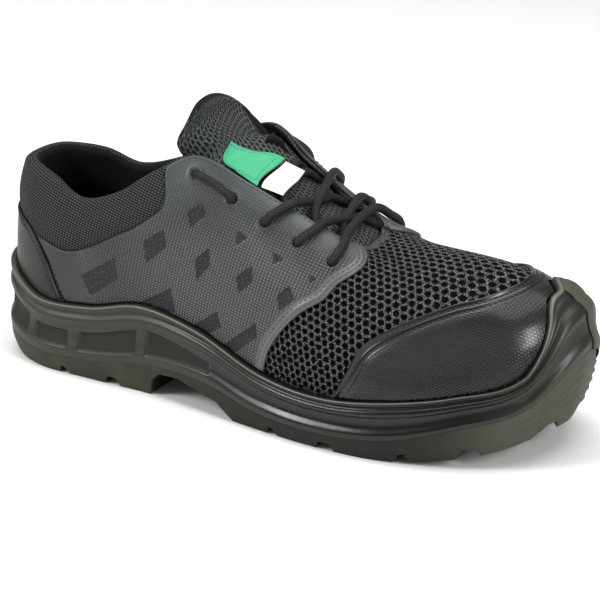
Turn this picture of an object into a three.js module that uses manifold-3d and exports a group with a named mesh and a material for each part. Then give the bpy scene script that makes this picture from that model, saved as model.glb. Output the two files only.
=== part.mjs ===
// A low-cut safety shoe for the right foot, standing empty on its sole.
// Millimetres, +Z up, +X towards the toe, +Y towards the inner side of the foot.
// The origin is on the ground, under the middle of the shoe.
import * as THREE from 'three';
import { mergeVertices } from 'three/addons/utils/BufferGeometryUtils.js';
import Module from 'manifold-3d';

const kernel = await Module();
kernel.setup();

// Plan sizes of the sole
const soleLength = 302;
const heelWidth = 78;
const waistWidth = 84;
const ballWidth = 110;
const toeWidth = 104;

// Heights above the ground
const heelBackRise = 48;      // top edge of the sole behind the heel
const heelSideRise = 36;      // top edge of the sole beside the heel
const archRise = 43.5;        // top edge of the sole over the arch
const ballRise = 25;          // top edge of the sole beside the ball
const bumperRise = 71.5;      // top edge of the sole over the toe
const heelPartingRise = 10;   // line between tread and midsole
const archPartingRise = 17;
const ballPartingRise = 8.5;
const toePartingRise = 50;
const heelFloorRise = 23;     // bottom of the cup that the foot stands in
const ballFloorRise = 14;
const toeFloorRise = 27;
const collarRise = 94;        // back of the collar
const ankleRise = 84;         // lowest place of the collar
const eyestayRise = 115;      // top corner of the lace row
const throatRise = 81;        // front end of the lace row
const toeSpring = 17;
const toeSpringStart = 62;    // x where the tread leaves the ground
const heelBevel = 5;
const heelBevelStart = -125;

// Walls and clearances
const clearance = 0.3;
const upperWall = 2.2;
const collarPad = 8;
const overlayWall = 0.9;
const soleLip = 3.2;
const footInset = 7;          // upper's lower edge, in from the sole's outline
const insoleThickness = 4;
const treadInset = 3;         // ground outline, in from the sole's outline
const toeTuck = 6;            // further inset of the ground outline at the toe
const insoleGap = 1;          // between insole and upper
const treadCore = 6.5;        // tread's thickness over the ground under the forefoot
const treadEdge = 3.2;        // tread's wall in front of the midsole
const coreTuck = 3;           // how much thicker that wall is at its foot, at the toe
const lugDepth = 4;
const recessDepth = 1.6;
const sideLean = 2;           // power with which the sole's side leans in to its lip

// Throat, tongue and laces
const throatWidth = 36;
const eyeletRadius = 2.4;
const laceDiameter = 4.2;
const tongueThickness = 6;
const tongueEdge = 2.5;
const tongueCrown = 2.5;      // height of the tongue's middle over the throat's edges
const tagThickness = 0.6;

// Counts of steps
const ringsToNext = [3, 3, 2, 2, 2, 2, 2, 2, 3, 4, 5];   // from each section to the next, heel to toe
const cupSteps = 2;
const skinSteps = 6;
const liningSteps = 3;
const tubeSides = 6;
const eyeletSides = 8;
const tubeSteps = 10;
const tongueSteps = 10;
const tagSteps = 3;

// The shoe's sections, from the back of the heel to the tip of the toe.
// x and topX are shares of the sole's length, measured from the heel. Outer is the little-toe side.
const half = 0.5;
const columns = ['name', 'x', 'outer', 'inner', 'soleTop', 'parting',
  'floor', 'topX', 'topOuter', 'topInner', 'topZ', 'innerShift', 'innerLift',
  'shoulder', 'dip', 'square', 'bulge', 'pad'];
const throatHalf = throatWidth * half;
const rows = [
  ['heel back', 0, 0, 0, heelBackRise, heelPartingRise * 1.45,
    heelFloorRise, 0.028, 0, 0, collarRise, 0, 0, 0.2, 1, 2, 2.5, 1],
  ['heel corner', 0.03, heelWidth * 0.3, heelWidth * 0.3, heelBackRise * 0.93, heelPartingRise * 1.3,
    heelFloorRise, 0.05, 16, 16, collarRise, 0, 1, 0.2, 1, 2, 2.5, 1],
  ['heel', 0.11, heelWidth * 0.47, heelWidth * 0.46, heelSideRise, heelPartingRise,
    heelFloorRise, 0.115, 26, 25, collarRise * 0.97, 0, 2, 0.2, 1, 2, 2.5, 1],
  ['ankle', 0.215, heelWidth * 0.5, heelWidth * 0.47, heelSideRise * 1.03, heelPartingRise * 1.1,
    heelFloorRise, 0.18, 30, 29, ankleRise, 0, 3, 0.2, 1, 2, 2, 1],
  ['arch', 0.325, waistWidth * 0.48, waistWidth * 0.41, archRise, archPartingRise * 0.94,
    heelFloorRise * 0.95, 0.25, 30, 29, ankleRise * 1.08, 2, 3, 0.2, 1, 2, 2, 0.8],
  ['waist', 0.434, waistWidth * 0.54, waistWidth * 0.44, archRise * 0.9, archPartingRise * 0.95,
    heelFloorRise * 0.85, 0.315, 27, 26, eyestayRise * 0.91, 10, 3, 0.25, 1, 2, 2, 0.5],
  ['instep', 0.543, ballWidth * 0.465, ballWidth * 0.41, ballRise * 1.12, ballPartingRise * 1.15,
    ballFloorRise * 1.1, 0.378, throatHalf * 1.08, throatHalf * 1.05, eyestayRise, 17, 8, 0.35, 1, 2.1, 3, 0],
  ['ball', 0.652, ballWidth * 0.5, ballWidth * 0.475, ballRise, ballPartingRise,
    ballFloorRise, 0.467, throatHalf, throatHalf, eyestayRise * 0.92, 10, 4, 0.42, 1, 2.2, 4, 0],
  ['toe joint', 0.762, ballWidth * 0.487, ballWidth * 0.5, ballRise * 1.12, ballPartingRise * 1.35,
    ballFloorRise, 0.556, throatHalf * 0.97, throatHalf, throatRise * 1.17, 6, -1.5, 0.47, 1, 2.2, 4, 0],
  ['toe box', 0.864, toeWidth * 0.43, toeWidth * 0.485, ballRise * 1.34, toePartingRise * 0.4,
    ballFloorRise * 1.2, 0.62, throatHalf * 0.8, throatHalf * 0.9, throatRise * 1.06, 3, 0.5,
    0.64, 1.3, 2.7, 3, 0],
  ['toe corner', 0.95, toeWidth * 0.26, toeWidth * 0.35, bumperRise * 0.6, toePartingRise * 0.58,
    toeFloorRise * 0.82, 0.643, throatHalf * 0.35, throatHalf * 0.5, throatRise, 1, 2,
    0.88, 1.8, 3.9, 2.5, 0],
  ['toe tip', 1, -toeWidth * 0.04, toeWidth * 0.04, bumperRise, toePartingRise,
    toeFloorRise, 0.648, -2, 2, throatRise * 1.01, 0, 0, 0.95, 2, 4.6, 2, 0],
];

const last = rows.length - 1;
const loopCount = 2 * last;

// One closed loop of values for each column: down the outer side to the toe, back along the inner side.
function loopOf(pick) {
  return Array.from({ length: loopCount }, (_, k) => {
    const inner = k > last;
    const row = rows[inner ? loopCount - k : k];
    return pick(Object.fromEntries(columns.map((name, i) => [name, row[i]])), inner);
  });
}

const loops = {
  x: loopOf((r) => (r.x - half) * soleLength),
  y: loopOf((r, inner) => (inner ? r.inner : -r.outer)),
  soleTop: loopOf((r) => r.soleTop),
  parting: loopOf((r) => r.parting),
  floor: loopOf((r) => r.floor),
  topX: loopOf((r, inner) => (r.topX - half) * soleLength + (inner ? r.innerShift : 0)),
  topY: loopOf((r, inner) => (inner ? r.topInner : -r.topOuter)),
  topZ: loopOf((r, inner) => r.topZ + (inner ? r.innerLift : 0)),
  shoulder: loopOf((r) => r.shoulder),
  dip: loopOf((r) => r.dip),
  square: loopOf((r) => r.square),
  bulge: loopOf((r) => r.bulge),
  pad: loopOf((r) => r.pad),
};

// Smooth closed curve through a loop of values. u runs from 0 at the heel, past 0.5 at the toe, to 1.
function along(loop, u) {
  const t = (((u % 1) + 1) % 1) * loopCount;
  const k = Math.floor(t);
  const f = t - k;
  const [a, b, c, d] = [-1, 0, 1, 2].map((step) => loop[(k + step + loopCount) % loopCount]);
  return b + 0.5 * f * (c - a + f * (2 * a - 5 * b + 4 * c - d + f * (3 * (b - c) + d - a)));
}

const small = 1e-3;
const mix = (a, b, t) => a + (b - a) * t;
const smooth = (low, high, t) => THREE.MathUtils.smoothstep(t, low, high);

// How much higher than its sections say the bumper's edge lies beside the toe's tip: [u, share of its rise]
const bumperFill = [[0.455, 0], [0.48, 0.06], [0.5, 0], [0.521, 0.13], [0.545, 0.03], [0.57, 0]];
const soleTopAt = (u) => along(loops.soleTop, u) + bumperRise * through(bumperFill, u);

function outline(u, inset = 0) {
  const tangent = new THREE.Vector2(
    along(loops.x, u + small) - along(loops.x, u - small),
    along(loops.y, u + small) - along(loops.y, u - small),
  ).normalize();
  return new THREE.Vector2(along(loops.x, u) - inset * tangent.y, along(loops.y, u) + inset * tangent.x);
}

// The upper's outer skin before any offset: v is 0 in the sole's cup and 1 at the collar and throat.
function skin(u, v) {
  const foot = outline(u, footInset);
  const angle = (v * Math.PI) / 2;
  const power = along(loops.square, u);
  const size = (Math.cos(angle) ** power + Math.sin(angle) ** power) ** (1 / power);
  const run = 1 - Math.cos(angle) / size;
  const rise = Math.sin(angle) / size;
  const shoulder = along(loops.shoulder, u);
  const swell = along(loops.bulge, u) * Math.sin(Math.PI * Math.min(v, 1));
  const out = outline(u, 0).sub(foot).normalize();
  const floor = along(loops.floor, u);
  return new THREE.Vector3(
    mix(foot.x, along(loops.topX, u), run) + swell * out.x,
    mix(foot.y, along(loops.topY, u), run) + swell * out.y,
    floor + (along(loops.topZ, u) - floor) * (shoulder * rise + (1 - shoulder) * run ** along(loops.dip, u)),
  );
}

// A point on the skin moved out by offset, or in where offset is negative.
function wall(u, v, offset = 0) {
  const low = Math.max(v - small, 0);
  const high = Math.min(v + small, 1);
  const across = skin(u + small, v).sub(skin(u - small, v));
  const up = skin(u, high).sub(skin(u, low));
  const normal = across.cross(up).normalize();
  return skin(u, v).addScaledVector(normal, offset);
}

// Smooth curve through rows of [key, value], flat beyond both ends.
function through(table, key) {
  const end = table.length - 1;
  if (key <= table[0][0]) return table[0][1];
  if (key >= table[end][0]) return table[end][1];
  const k = table.findIndex((row) => row[0] > key) - 1;
  const slope = (i) => {
    const low = Math.max(i - 1, 0);
    const high = Math.min(i + 1, end);
    return (table[high][1] - table[low][1]) / (table[high][0] - table[low][0]);
  };
  const span = table[k + 1][0] - table[k][0];
  const t = (key - table[k][0]) / span;
  const a = table[k][1];
  const b = table[k + 1][1];
  const m = slope(k) * span;
  const n = slope(k + 1) * span;
  return a + t * (m + t * (3 * (b - a) - 2 * m - n + t * (2 * (a - b) + m + n)));
}

// The v at which the skin reaches a height.
function levelAt(u, height) {
  let low = 0;
  let high = 1;
  for (let i = 0; i < 24; i++) {
    const middle = (low + high) / 2;
    if (skin(u, middle).z < height) low = middle;
    else high = middle;
  }
  return (low + high) / 2;
}

const lipLevels = new Map();

// The v at the sole's top edge
function lipLevel(u) {
  if (!lipLevels.has(u)) lipLevels.set(u, levelAt(u, soleTopAt(u)));
  return lipLevels.get(u);
}

const ringU = [...ringsToNext, ...ringsToNext.toReversed()]
  .flatMap((count, k) => Array.from({ length: count }, (_, i) => (k + i / count) / loopCount));

// A closed body from points and faces: equal points joined, faces without area left out.
function closedGeometry(points, faces) {
  const raw = new THREE.BufferGeometry();
  raw.setAttribute('position', new THREE.Float32BufferAttribute(points.flatMap((q) => [q.x, q.y, q.z]), 3));
  raw.setIndex(faces.flat());
  const merged = mergeVertices(raw, 2e-3);
  const index = merged.getIndex().array;
  const kept = [];
  for (let i = 0; i < index.length; i += 3) {
    const [a, b, c] = index.slice(i, i + 3);
    if (a !== b && b !== c && c !== a) kept.push(a, b, c);
  }
  merged.setIndex(kept);
  return merged;
}

// A shape's own geometry with its equal points joined.
function plain(geometry) {
  geometry.deleteAttribute('normal');
  geometry.deleteAttribute('uv');
  return mergeVertices(geometry, 2e-3);
}

// A solid through rings of points. The first and last rings meet when wrap is set;
// otherwise each of them folds onto a line. From the ring number turn on, faces are split
// the other way, as the faces that lie against them are.
function loft(rings, turn, wrap = false) {
  const count = rings[0].length;
  const faces = [];
  const bands = wrap ? rings.length : rings.length - 1;
  for (let i = 0; i < bands; i++) {
    for (let j = 0; j < count; j++) {
      const a = i * count + j;
      const b = i * count + ((j + 1) % count);
      const c = ((i + 1) % rings.length) * count + j;
      const d = ((i + 1) % rings.length) * count + ((j + 1) % count);
      if (i < turn) faces.push([a, b, c], [b, d, c]);
      else faces.push([a, b, d], [a, d, c]);
    }
  }
  return closedGeometry(rings.flat(), faces);
}

// A plate over part of a surface: point(u, t, offset) with t from 0 at low to 1 at high.
function plate(us, steps, under, over, point) {
  const points = [];
  for (const offset of [under, over]) {
    for (const u of us) {
      for (let j = 0; j <= steps; j++) points.push(point(u, j / steps, offset));
    }
  }
  const at = (level, i, j) => (level * us.length + i) * (steps + 1) + j;
  const faces = [];
  const quad = (a, b, c, d) => faces.push([a, b, d], [b, c, d]);
  const end = us.length - 1;
  for (let i = 0; i < end; i++) {
    for (let j = 0; j < steps; j++) {
      quad(at(1, i, j), at(1, i + 1, j), at(1, i + 1, j + 1), at(1, i, j + 1));
      quad(at(0, i, j), at(0, i, j + 1), at(0, i + 1, j + 1), at(0, i + 1, j));
    }
    quad(at(0, i, 0), at(0, i + 1, 0), at(1, i + 1, 0), at(1, i, 0));
    quad(at(0, i, steps), at(1, i, steps), at(1, i + 1, steps), at(0, i + 1, steps));
  }
  for (let j = 0; j < steps; j++) {
    quad(at(0, 0, j), at(1, 0, j), at(1, 0, j + 1), at(0, 0, j + 1));
    quad(at(0, end, j), at(0, end, j + 1), at(1, end, j + 1), at(1, end, j));
  }
  return closedGeometry(points, faces);
}

// Ring stations between two places, with both ends added.
function stations(from, to, extra = []) {
  const inside = ringU.flatMap((u) => [u - 1, u]).filter((u) => u > from + small * 2 && u < to - small * 2);
  return [from, ...inside, ...extra, to].sort((a, b) => a - b);
}

function solidOf(geometry) {
  const mesh = new kernel.Mesh({
    numProp: 3,
    vertProperties: new Float32Array(geometry.getAttribute('position').array),
    triVerts: new Uint32Array(geometry.getIndex().array),
  });
  mesh.merge();
  return new kernel.Manifold(mesh);
}

function geometryOf(solid) {
  const mesh = solid.getMesh();
  const geometry = new THREE.BufferGeometry();
  const positions = new Float32Array(mesh.numVert * 3);
  for (let i = 0; i < mesh.numVert; i++) {
    positions.set(mesh.vertProperties.subarray(i * mesh.numProp, i * mesh.numProp + 3), i * 3);
  }
  geometry.setAttribute('position', new THREE.BufferAttribute(positions, 3));
  geometry.setIndex(new THREE.BufferAttribute(new Uint32Array(mesh.triVerts), 1));
  return geometry;
}

const join = (...parts) => geometryOf(kernel.Manifold.union(parts.map(solidOf)));
const cut = (body, tools) => geometryOf(solidOf(body).subtract(kernel.Manifold.union(tools)));

const group = new THREE.Group();

function add(name, geometry, colour) {
  geometry.computeVertexNormals();
  const material = new THREE.MeshStandardMaterial({ color: colour, roughness: 0.7 });
  const mesh = new THREE.Mesh(geometry, material);
  mesh.name = name;
  group.add(mesh);
}

// Sole

const groundAt = (x) => {
  const toe = Math.max(0, x - toeSpringStart) / (soleLength * half - toeSpringStart);
  const heel = Math.max(0, heelBevelStart - x) / (soleLength * half + heelBevelStart);
  return toeSpring * toe ** 2 + heelBevel * heel ** 2;
};

// Steps of the sole's side: [share of its height, distance out]
const sideSteps = [
  [0, 0], [0.15, 0.4], [0.34, -1], [0.56, -1], [0.7, 0.5], [0.78, 0.4], [0.85, -0.6], [0.93, 0.6], [1, 0],
];

function outward(u) {
  return outline(u, 0).sub(outline(u, 1));
}

// The midsole's side: t is 0 at the tread and 1 at the lip.
function side(u, t, offset = 0) {
  const height = mix(along(loops.parting, u), soleTopAt(u), t);
  const lip = wall(u, levelAt(u, height), clearance + soleLip);
  const edge = outline(u, 0);
  const lean = Math.max(t, 0) ** sideLean;
  const out = outward(u).multiplyScalar(through(sideSteps, t) + offset);
  return new THREE.Vector3(
    mix(edge.x, lip.x, lean) + out.x,
    mix(edge.y, lip.y, lean) + out.y,
    mix(height, lip.z, lean) + offset * smooth(0.5, 1, t) * smooth(toeSpringStart, soleLength * half, edge.x),
  );
}

const toeShare = (u) => smooth(0.42, 0.49, u) * (1 - smooth(0.51, 0.58, u));

// The tread's side: t is 0 at the ground and 1 where it meets the midsole.
function treadSide(u, t, offset = 0) {
  const inset = (treadInset + toeTuck * toeShare(u)) * (1 - t) ** 2 - offset;
  const edge = outline(u, inset);
  const foot = outline(u, treadInset + toeTuck * toeShare(u));
  return new THREE.Vector3(edge.x, edge.y, mix(groundAt(foot.x), along(loops.parting, u), t));
}

// Where flat faces fold: a line along the middle, the same for both sides.
const spineEnds = [2 / loopCount, 9 / loopCount];
const folded = (u) => THREE.MathUtils.clamp(Math.min(u, 1 - u), spineEnds[0], spineEnds[1]);
const spineX = (u) => along(loops.x, folded(u));
const archCore = (x) => Math.max(0, ballWidth * 0.25 - x) * 0.3;

// The face between tread and midsole: its edge, its step down behind the toe guard, and its middle.
function coreLevel(u) {
  const x = along(loops.x, u);
  return Math.min(along(loops.parting, u) - half, groundAt(x) + treadCore + archCore(x));
}

function corePoint(u, inset, drop = 0) {
  const edge = outline(u, inset + coreTuck * toeShare(u));
  return new THREE.Vector3(edge.x, edge.y, coreLevel(u) - drop);
}

function coreSpine(u, drop = 0) {
  return new THREE.Vector3(spineX(u), 0, coreLevel(folded(u)) - drop);
}

function cupPoint(u, reach, lift = 0) {
  const edge = outline(u, footInset);
  return new THREE.Vector3(
    mix(spineX(u), edge.x, reach),
    edge.y * reach,
    mix(along(loops.floor, folded(u)), along(loops.floor, u), reach) + lift,
  );
}

const cupLevels = Array.from({ length: cupSteps + 1 }, (_, k) => k);
const cupV = (u) => cupLevels.map((k) => (lipLevel(u) * k) / cupSteps);

function midsoleGeometry() {
  const rings = [
    ringU.map((u) => coreSpine(u)),
    ringU.map((u) => corePoint(u, treadEdge * 4)),
    ringU.map((u) => corePoint(u, treadEdge + clearance)),
    ringU.map((u) => {
      const edge = outline(u, treadEdge + clearance);
      return new THREE.Vector3(edge.x, edge.y, along(loops.parting, u) - clearance);
    }),
    ...sideSteps.map((step) => ringU.map((u) => side(u, step[0]))),
    ...cupLevels.map((k) => ringU.map((u) => wall(u, cupV(u)[cupSteps - k], clearance))),
    ringU.map((u) => cupPoint(u, 0.94, -clearance)),
    ringU.map((u) => cupPoint(u, 0, -clearance)),
  ];
  return loft(rings, 3 + sideSteps.length);
}

function outsoleGeometry() {
  const levels = [0, 0.3, 0.65, 1];
  const rings = [
    ringU.map((u) => new THREE.Vector3(spineX(u), 0, groundAt(spineX(u)))),
    ...levels.map((t) => ringU.map((u) => treadSide(u, t))),
    ringU.map((u) => {
      const edge = outline(u, treadEdge);
      return new THREE.Vector3(edge.x, edge.y, along(loops.parting, u) - clearance * 2);
    }),
    ringU.map((u) => corePoint(u, treadEdge, clearance)),
    ringU.map((u) => corePoint(u, treadEdge * 4, clearance)),
    ringU.map((u) => coreSpine(u, clearance)),
  ];
  return loft(rings, levels.length);
}

// Grooves of the tread: [middle and width as shares of the sole's length]
const grooveColumns = [
  [-0.341, 0.01], [-0.248, 0.02], [0.066, 0.01], [0.162, 0.023], [0.285, 0.013], [0.376, 0.023],
  [0.454, 0.013],
];
const grooveFlare = 1;        // how much wider each side of a groove is below the ground
const grooveRuns = [[-0.437, -0.199], [0.013, 0.424]];
// Outline of the arch cut, seen from the side: [x, z] as shares of the sole's length and the arch's height
const archHeight = 13.5;
const archOutline = [
  [-0.007, -0.37], [-0.013, 0.04], [-0.036, 0.56], [-0.066, 0.7], [-0.113, 1], [-0.152, 0.93], [-0.169, 0.59],
  [-0.179, -0.37],
];

// A prism along y from an outline in x and z.
function acrossPrism(points, width = ballWidth * 2) {
  const shape = new THREE.Shape(points.map(([x, z]) => new THREE.Vector2(x, z)));
  const prism = new THREE.ExtrudeGeometry(shape, { depth: width, bevelEnabled: false });
  prism.rotateX(Math.PI / 2).translate(0, width * half, 0);
  return solidOf(plain(prism));
}

function grooveTools() {
  const below = -lugDepth;
  const across = grooveColumns.map((shares) => {
    const [x, width] = shares.map((share) => share * soleLength);
    const [back, front] = [x - width * half, x + width * half];
    const top = groundAt(x) + lugDepth;
    return acrossPrism([
      [back - grooveFlare, below], [front + grooveFlare, below], [front, top], [back, top],
    ]);
  });
  const lengthways = grooveRuns.map(([from, to]) => {
    const top = [1, 0.75, half, 0.25, 0].map((f) => mix(from, to, f) * soleLength)
      .map((x) => [x, groundAt(x) + lugDepth * half]);
    return acrossPrism([[from * soleLength, below], [to * soleLength, below], ...top], lugDepth);
  });
  const arch = archOutline.map(([x, z]) => [x * soleLength, z * archHeight]);
  return [...across, ...lengthways, acrossPrism(arch)];
}

// Ribs round each toe corner, one above the other
const ribHeight = 0.9;
const ribLevels = [0.22, 0.36, 0.5, 0.64, 0.78];
const ribWidth = 0.06;
const ribEnds = [0.446, 0.494];

function ribGeometry(level, inner) {
  const [from, to] = inner ? [1 - ribEnds[1], 1 - ribEnds[0]] : ribEnds;
  const side = (u, t, offset) => treadSide(u, mix(level, level + ribWidth, t), offset);
  return plate(stations(from, to), 1, -ribHeight, ribHeight, side);
}

// The tread's strip up the middle of the toe: [share of the side's height, how far in its back lies]
const stripGap = clearance * 1.5;
const stripRows = [
  [-0.25, -ribHeight], [-0.05, -ribHeight], [-0.01, stripGap],
  ...sideSteps.slice(1, -1).map(([t]) => [t, stripGap]),
];

function toeStripGeometry() {
  const us = stations(0.501, 0.532);
  return plate(us, stripRows.length - 1, 0, 1, (u, t, face) => {
    const [height, back] = stripRows[Math.round(t * (stripRows.length - 1))];
    return side(u, height, mix(back, stripGap + ribHeight, face));
  });
}

// Sunk panels of the midsole's side: [from u, to u, low at from, high at from, low at to, high at to]
const recesses = [
  [0.02, 0.038, 0.2, 0.62, 0.2, 0.6],
  [0.046, 0.078, 0.18, 0.62, 0.16, 0.58],
  [0.086, 0.118, 0.16, 0.52, 0.16, 0.5],
  [0.126, 0.172, 0.14, 0.5, 0.14, 0.58],
  [0.18, 0.232, 0.14, 0.6, 0.2, 0.42],
];

function recessTool(recess, inner) {
  const [from, to, lowFrom, highFrom, lowTo, highTo] = recess;
  const us = [0, half, 1].map((f) => mix(from, to, f)).map((u) => (inner ? 1 - u : u)).sort((a, b) => a - b);
  return solidOf(plate(us, 1, -recessDepth, recessDepth * 2, (u, t, offset) => {
    const share = ((inner ? 1 - u : u) - from) / (to - from);
    return side(u, mix(mix(lowFrom, lowTo, share), mix(highFrom, highTo, share), t), offset);
  }));
}

const recessTools = recesses.flatMap((recess) => [recessTool(recess, false), recessTool(recess, true)]);
add('midsole', cut(midsoleGeometry(), recessTools), 0x2b2c2a);

const ribs = ribLevels.flatMap((level) => [ribGeometry(level, false), ribGeometry(level, true)]);
add('outsole', cut(join(outsoleGeometry(), toeStripGeometry(), ...ribs), grooveTools()), 0x55564c);

// Insole

function insoleGeometry() {
  const inset = footInset + upperWall + insoleGap;
  const edge = (u, lift) => {
    const place = outline(u, inset);
    return new THREE.Vector3(place.x, place.y, along(loops.floor, u) + clearance + lift);
  };
  return loft([
    ringU.map((u) => cupPoint(u, 0, clearance)),
    ringU.map((u) => edge(u, 0)),
    ringU.map((u) => edge(u, insoleThickness)),
    ringU.map((u) => cupPoint(u, 0, clearance + insoleThickness)),
  ], 2);
}

add('insole', insoleGeometry(), 0x3a3b3d);

// Upper

function thickness(u, v) {
  return upperWall + (collarPad - upperWall) * along(loops.pad, u) * smooth(0.5, 0.9, v);
}

// The rolled edge: turn is 0 on the outside and 1 on the lining.
function roll(u, turn) {
  const edge = skin(u, 1);
  const inner = wall(u, 1, -thickness(u, 1));
  const up = skin(u, 1).sub(skin(u, 1 - small * 4)).normalize();
  const angle = turn * Math.PI;
  const middle = edge.clone().add(inner).multiplyScalar(half);
  const radius = edge.distanceTo(inner) * half;
  return middle
    .addScaledVector(edge.clone().sub(inner).multiplyScalar(half), Math.cos(angle))
    .addScaledVector(up, radius * 0.8 * Math.sin(angle));
}

function upperGeometry() {
  const above = (u, k, steps) => mix(lipLevel(u), 1, k / steps);
  const outer = Array.from({ length: skinSteps + 1 }, (_, k) =>
    ringU.map((u) => wall(u, above(u, k, skinSteps))));
  const cup = Array.from({ length: cupSteps }, (_, k) => ringU.map((u) => wall(u, cupV(u)[k])));
  const rolls = [0.25, 0.5, 0.75].map((turn) => ringU.map((u) => roll(u, turn)));
  const inside = (u, v) => wall(u, v, -thickness(u, v));
  const lining = Array.from({ length: liningSteps }, (_, k) =>
    ringU.map((u) => inside(u, above(u, liningSteps - k, liningSteps))));
  const low = [cupSteps, cupSteps * half, 0].map((k) =>
    ringU.map((u) => inside(u, (lipLevel(u) * k) / cupSteps)));
  const rings = [...cup, ...outer, ...rolls, ...lining, ...low];
  return loft(rings, rings.length, true);
}

// Seams on the upper: [u, v] from the outer side, the same on the inner side.
const capSeam = [
  [0.328, 0.17], [0.336, 0.26], [0.346, 0.35], [0.356, 0.43], [0.37, 0.5], [0.392, 0.57], [0.416, 0.61],
  [0.438, 0.61], [0.456, 0.59], [0.484, 0.58], [0.5, 0.58],
];
const counterSeam = [
  [0, 0.78], [0.03, 0.77], [0.064, 0.73], [0.08, 0.68], [0.096, 0.58], [0.104, 0.46], [0.114, 0.25],
];
const bandSeam = [
  [0.08, 0.69], [0.11, 0.68], [0.122, 0.7], [0.142, 0.76], [0.17, 0.82], [0.208, 0.85], [0.226, 0.87],
  [0.233, 0.91], [0.2375, 0.97], [0.242, 1],
];
const frontSeam = [
  [0.274, 0.14], [0.276, 0.21], [0.284, 0.31], [0.3, 0.42], [0.32, 0.52], [0.344, 0.61], [0.362, 0.7],
  [0.39, 0.8], [0.41, 0.87], [0.43, 0.95], [0.437, 0.985],
];
const seamGap = 0.004;
const outer = (u) => Math.min(u, 1 - u);
const aboveLip = (u) => levelAt(u, soleTopAt(u) + half);

// A layer over the upper with the upper's own facets, cut to the part between low and high.
function overlay(us, steps, low, high) {
  const twice = ringU.map((u) => u - 1).concat(ringU);
  const from = twice.findLastIndex((u) => u <= us[0]);
  const to = twice.findIndex((u) => u >= us[us.length - 1]);
  const whole = twice.slice(from, to + 1);
  const layer = plate(whole, skinSteps, clearance, clearance + overlayWall, (u, t, offset) =>
    wall(u, mix(lipLevel(u), 1, t), offset));
  const window = plate(us, steps, -overlayWall, overlayWall * 4, (u, t, offset) =>
    wall(u, mix(low(u), Math.max(high(u), low(u)), t), offset));
  return geometryOf(solidOf(layer).intersect(solidOf(window)));
}

const capEnd = capSeam[0][0];
const capKnots = capSeam.slice(1, 5).flatMap(([u]) => [u, 1 - u]);
const capUs = stations(capEnd, 1 - capEnd, capKnots);
add('toe_cap', overlay(capUs, 4, aboveLip, (u) => through(capSeam, outer(u))), 0x1b1b1d);

const counterHigh = (u) => through(counterSeam, Math.abs(u));
const counterEnd = 0.114;
const counterKnots = counterSeam.slice(3, 6).flatMap(([u]) => [u, -u]);
const counterUs = stations(-counterEnd, counterEnd, counterKnots);
add('heel_counter', overlay(counterUs, 2, aboveLip, counterHigh), 0x232325);

const quarterKnots = [0.096, 0.104, 0.11, 0.114, 0.227, 0.233, 0.2375, 0.242, 0.274, 0.276, 0.284]
  .map((u) => u + seamGap);

function quarterLow(u) {
  const key = outer(u);
  if (key < counterEnd + seamGap) return Math.max(through(counterSeam, key - seamGap), aboveLip(u));
  return Math.max(key < frontSeam[0][0] ? 0 : through(frontSeam, key), aboveLip(u));
}

function quarterGeometry(inner) {
  const [from, to] = [0.082, 0.436];
  const range = inner ? [1 - to, 1 - from] : [from, to];
  const knots = quarterKnots.map((u) => (inner ? 1 - u : u));
  return overlay(stations(range[0], range[1], knots), 3, quarterLow, (u) => through(bandSeam, outer(u)));
}

// Eyelets

// Pairs from the collar to the toe: where the lace crosses the throat's edge, then the hole's place
const eyeletColumns = ['edge', 'hole', 'level'];
const eyelets = [
  [0.277, 0.266, 0.93], [0.311, 0.294, 0.87], [0.339, 0.318, 0.84], [0.366, 0.342, 0.82], [0.4, 0.368, 0.8],
].map((row) => Object.fromEntries(eyeletColumns.map((name, i) => [name, row[i]])));

function eyeletTool(u, v) {
  const from = wall(u, v, -upperWall * 3);
  const to = wall(u, v, upperWall * 3);
  const pin = new THREE.CylinderGeometry(eyeletRadius, eyeletRadius, from.distanceTo(to), eyeletSides);
  const axis = to.clone().sub(from).normalize();
  pin.applyQuaternion(new THREE.Quaternion().setFromUnitVectors(new THREE.Vector3(0, 1, 0), axis));
  pin.translate(...from.lerp(to, half));
  return solidOf(plain(pin));
}

const eyeletTools = eyelets.flatMap(({ hole, level }) => [
  eyeletTool(hole, level), eyeletTool(1 - hole, level),
]);
add('upper', cut(upperGeometry(), eyeletTools), 0x232426);
add('quarter_outer', cut(quarterGeometry(false), eyeletTools), 0x3b3c3f);
add('quarter_inner', cut(quarterGeometry(true), eyeletTools), 0x3b3c3f);

const tabHalf = 0.012;
const tabPoint = (u, t, offset) => wall(u, mix(0.8, 0.97, t), offset);
add('heel_tab', plate([-tabHalf, 0, tabHalf], 3, clearance, clearance + overlayWall, tabPoint), 0x2f3033);

// Tongue

// Stations under the throat, from the lace row's top to the vamp:
// [u, v of the edge, v of the body, crown's share, extra depth]
const throatStations = [
  [0.285, 0.94, 0.99, 1, 1], [0.305, 0.88, 0.985, 1, 0.6], [0.33, 0.86, 0.98, 1, 0.4],
  [0.355, 0.86, 0.98, 1, 0.4], [0.38, 0.86, 0.98, 1, 0.3], [0.4, 0.87, 0.96, 0.8, 0.4],
  [0.42, 0.87, 0.94, -0.1, 2.3], [0.445, 0.87, 0.92, 0, 3], [0.475, 0.86, 0.89, 0, 2.2],
];
// Stations of the free end: [back, up, outer edge's x, y, z, inner edge's x, y, z from the middle]
const freeStations = [
  [13.5, 20.7, -1, -16, -1.5, 4, 17, -8.5], [15, 16.7, -4.3, -19, -5, 8.5, 17.5, -6.5],
  [14, 12.7, -10, -20.5, -9, 11.5, 16.5, -5], [10.5, 9.2, -15.5, -19, -9.5, 13.5, 15, -5.5],
  [5.5, 4.7, -12.5, -13.5, -11, 13, 14.8, -6],
];
const bodyShare = new THREE.Vector3(0.35, 0.7, 0.38);
const crownDirection = new THREE.Vector3(0.42, 0, 0.91);

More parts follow.
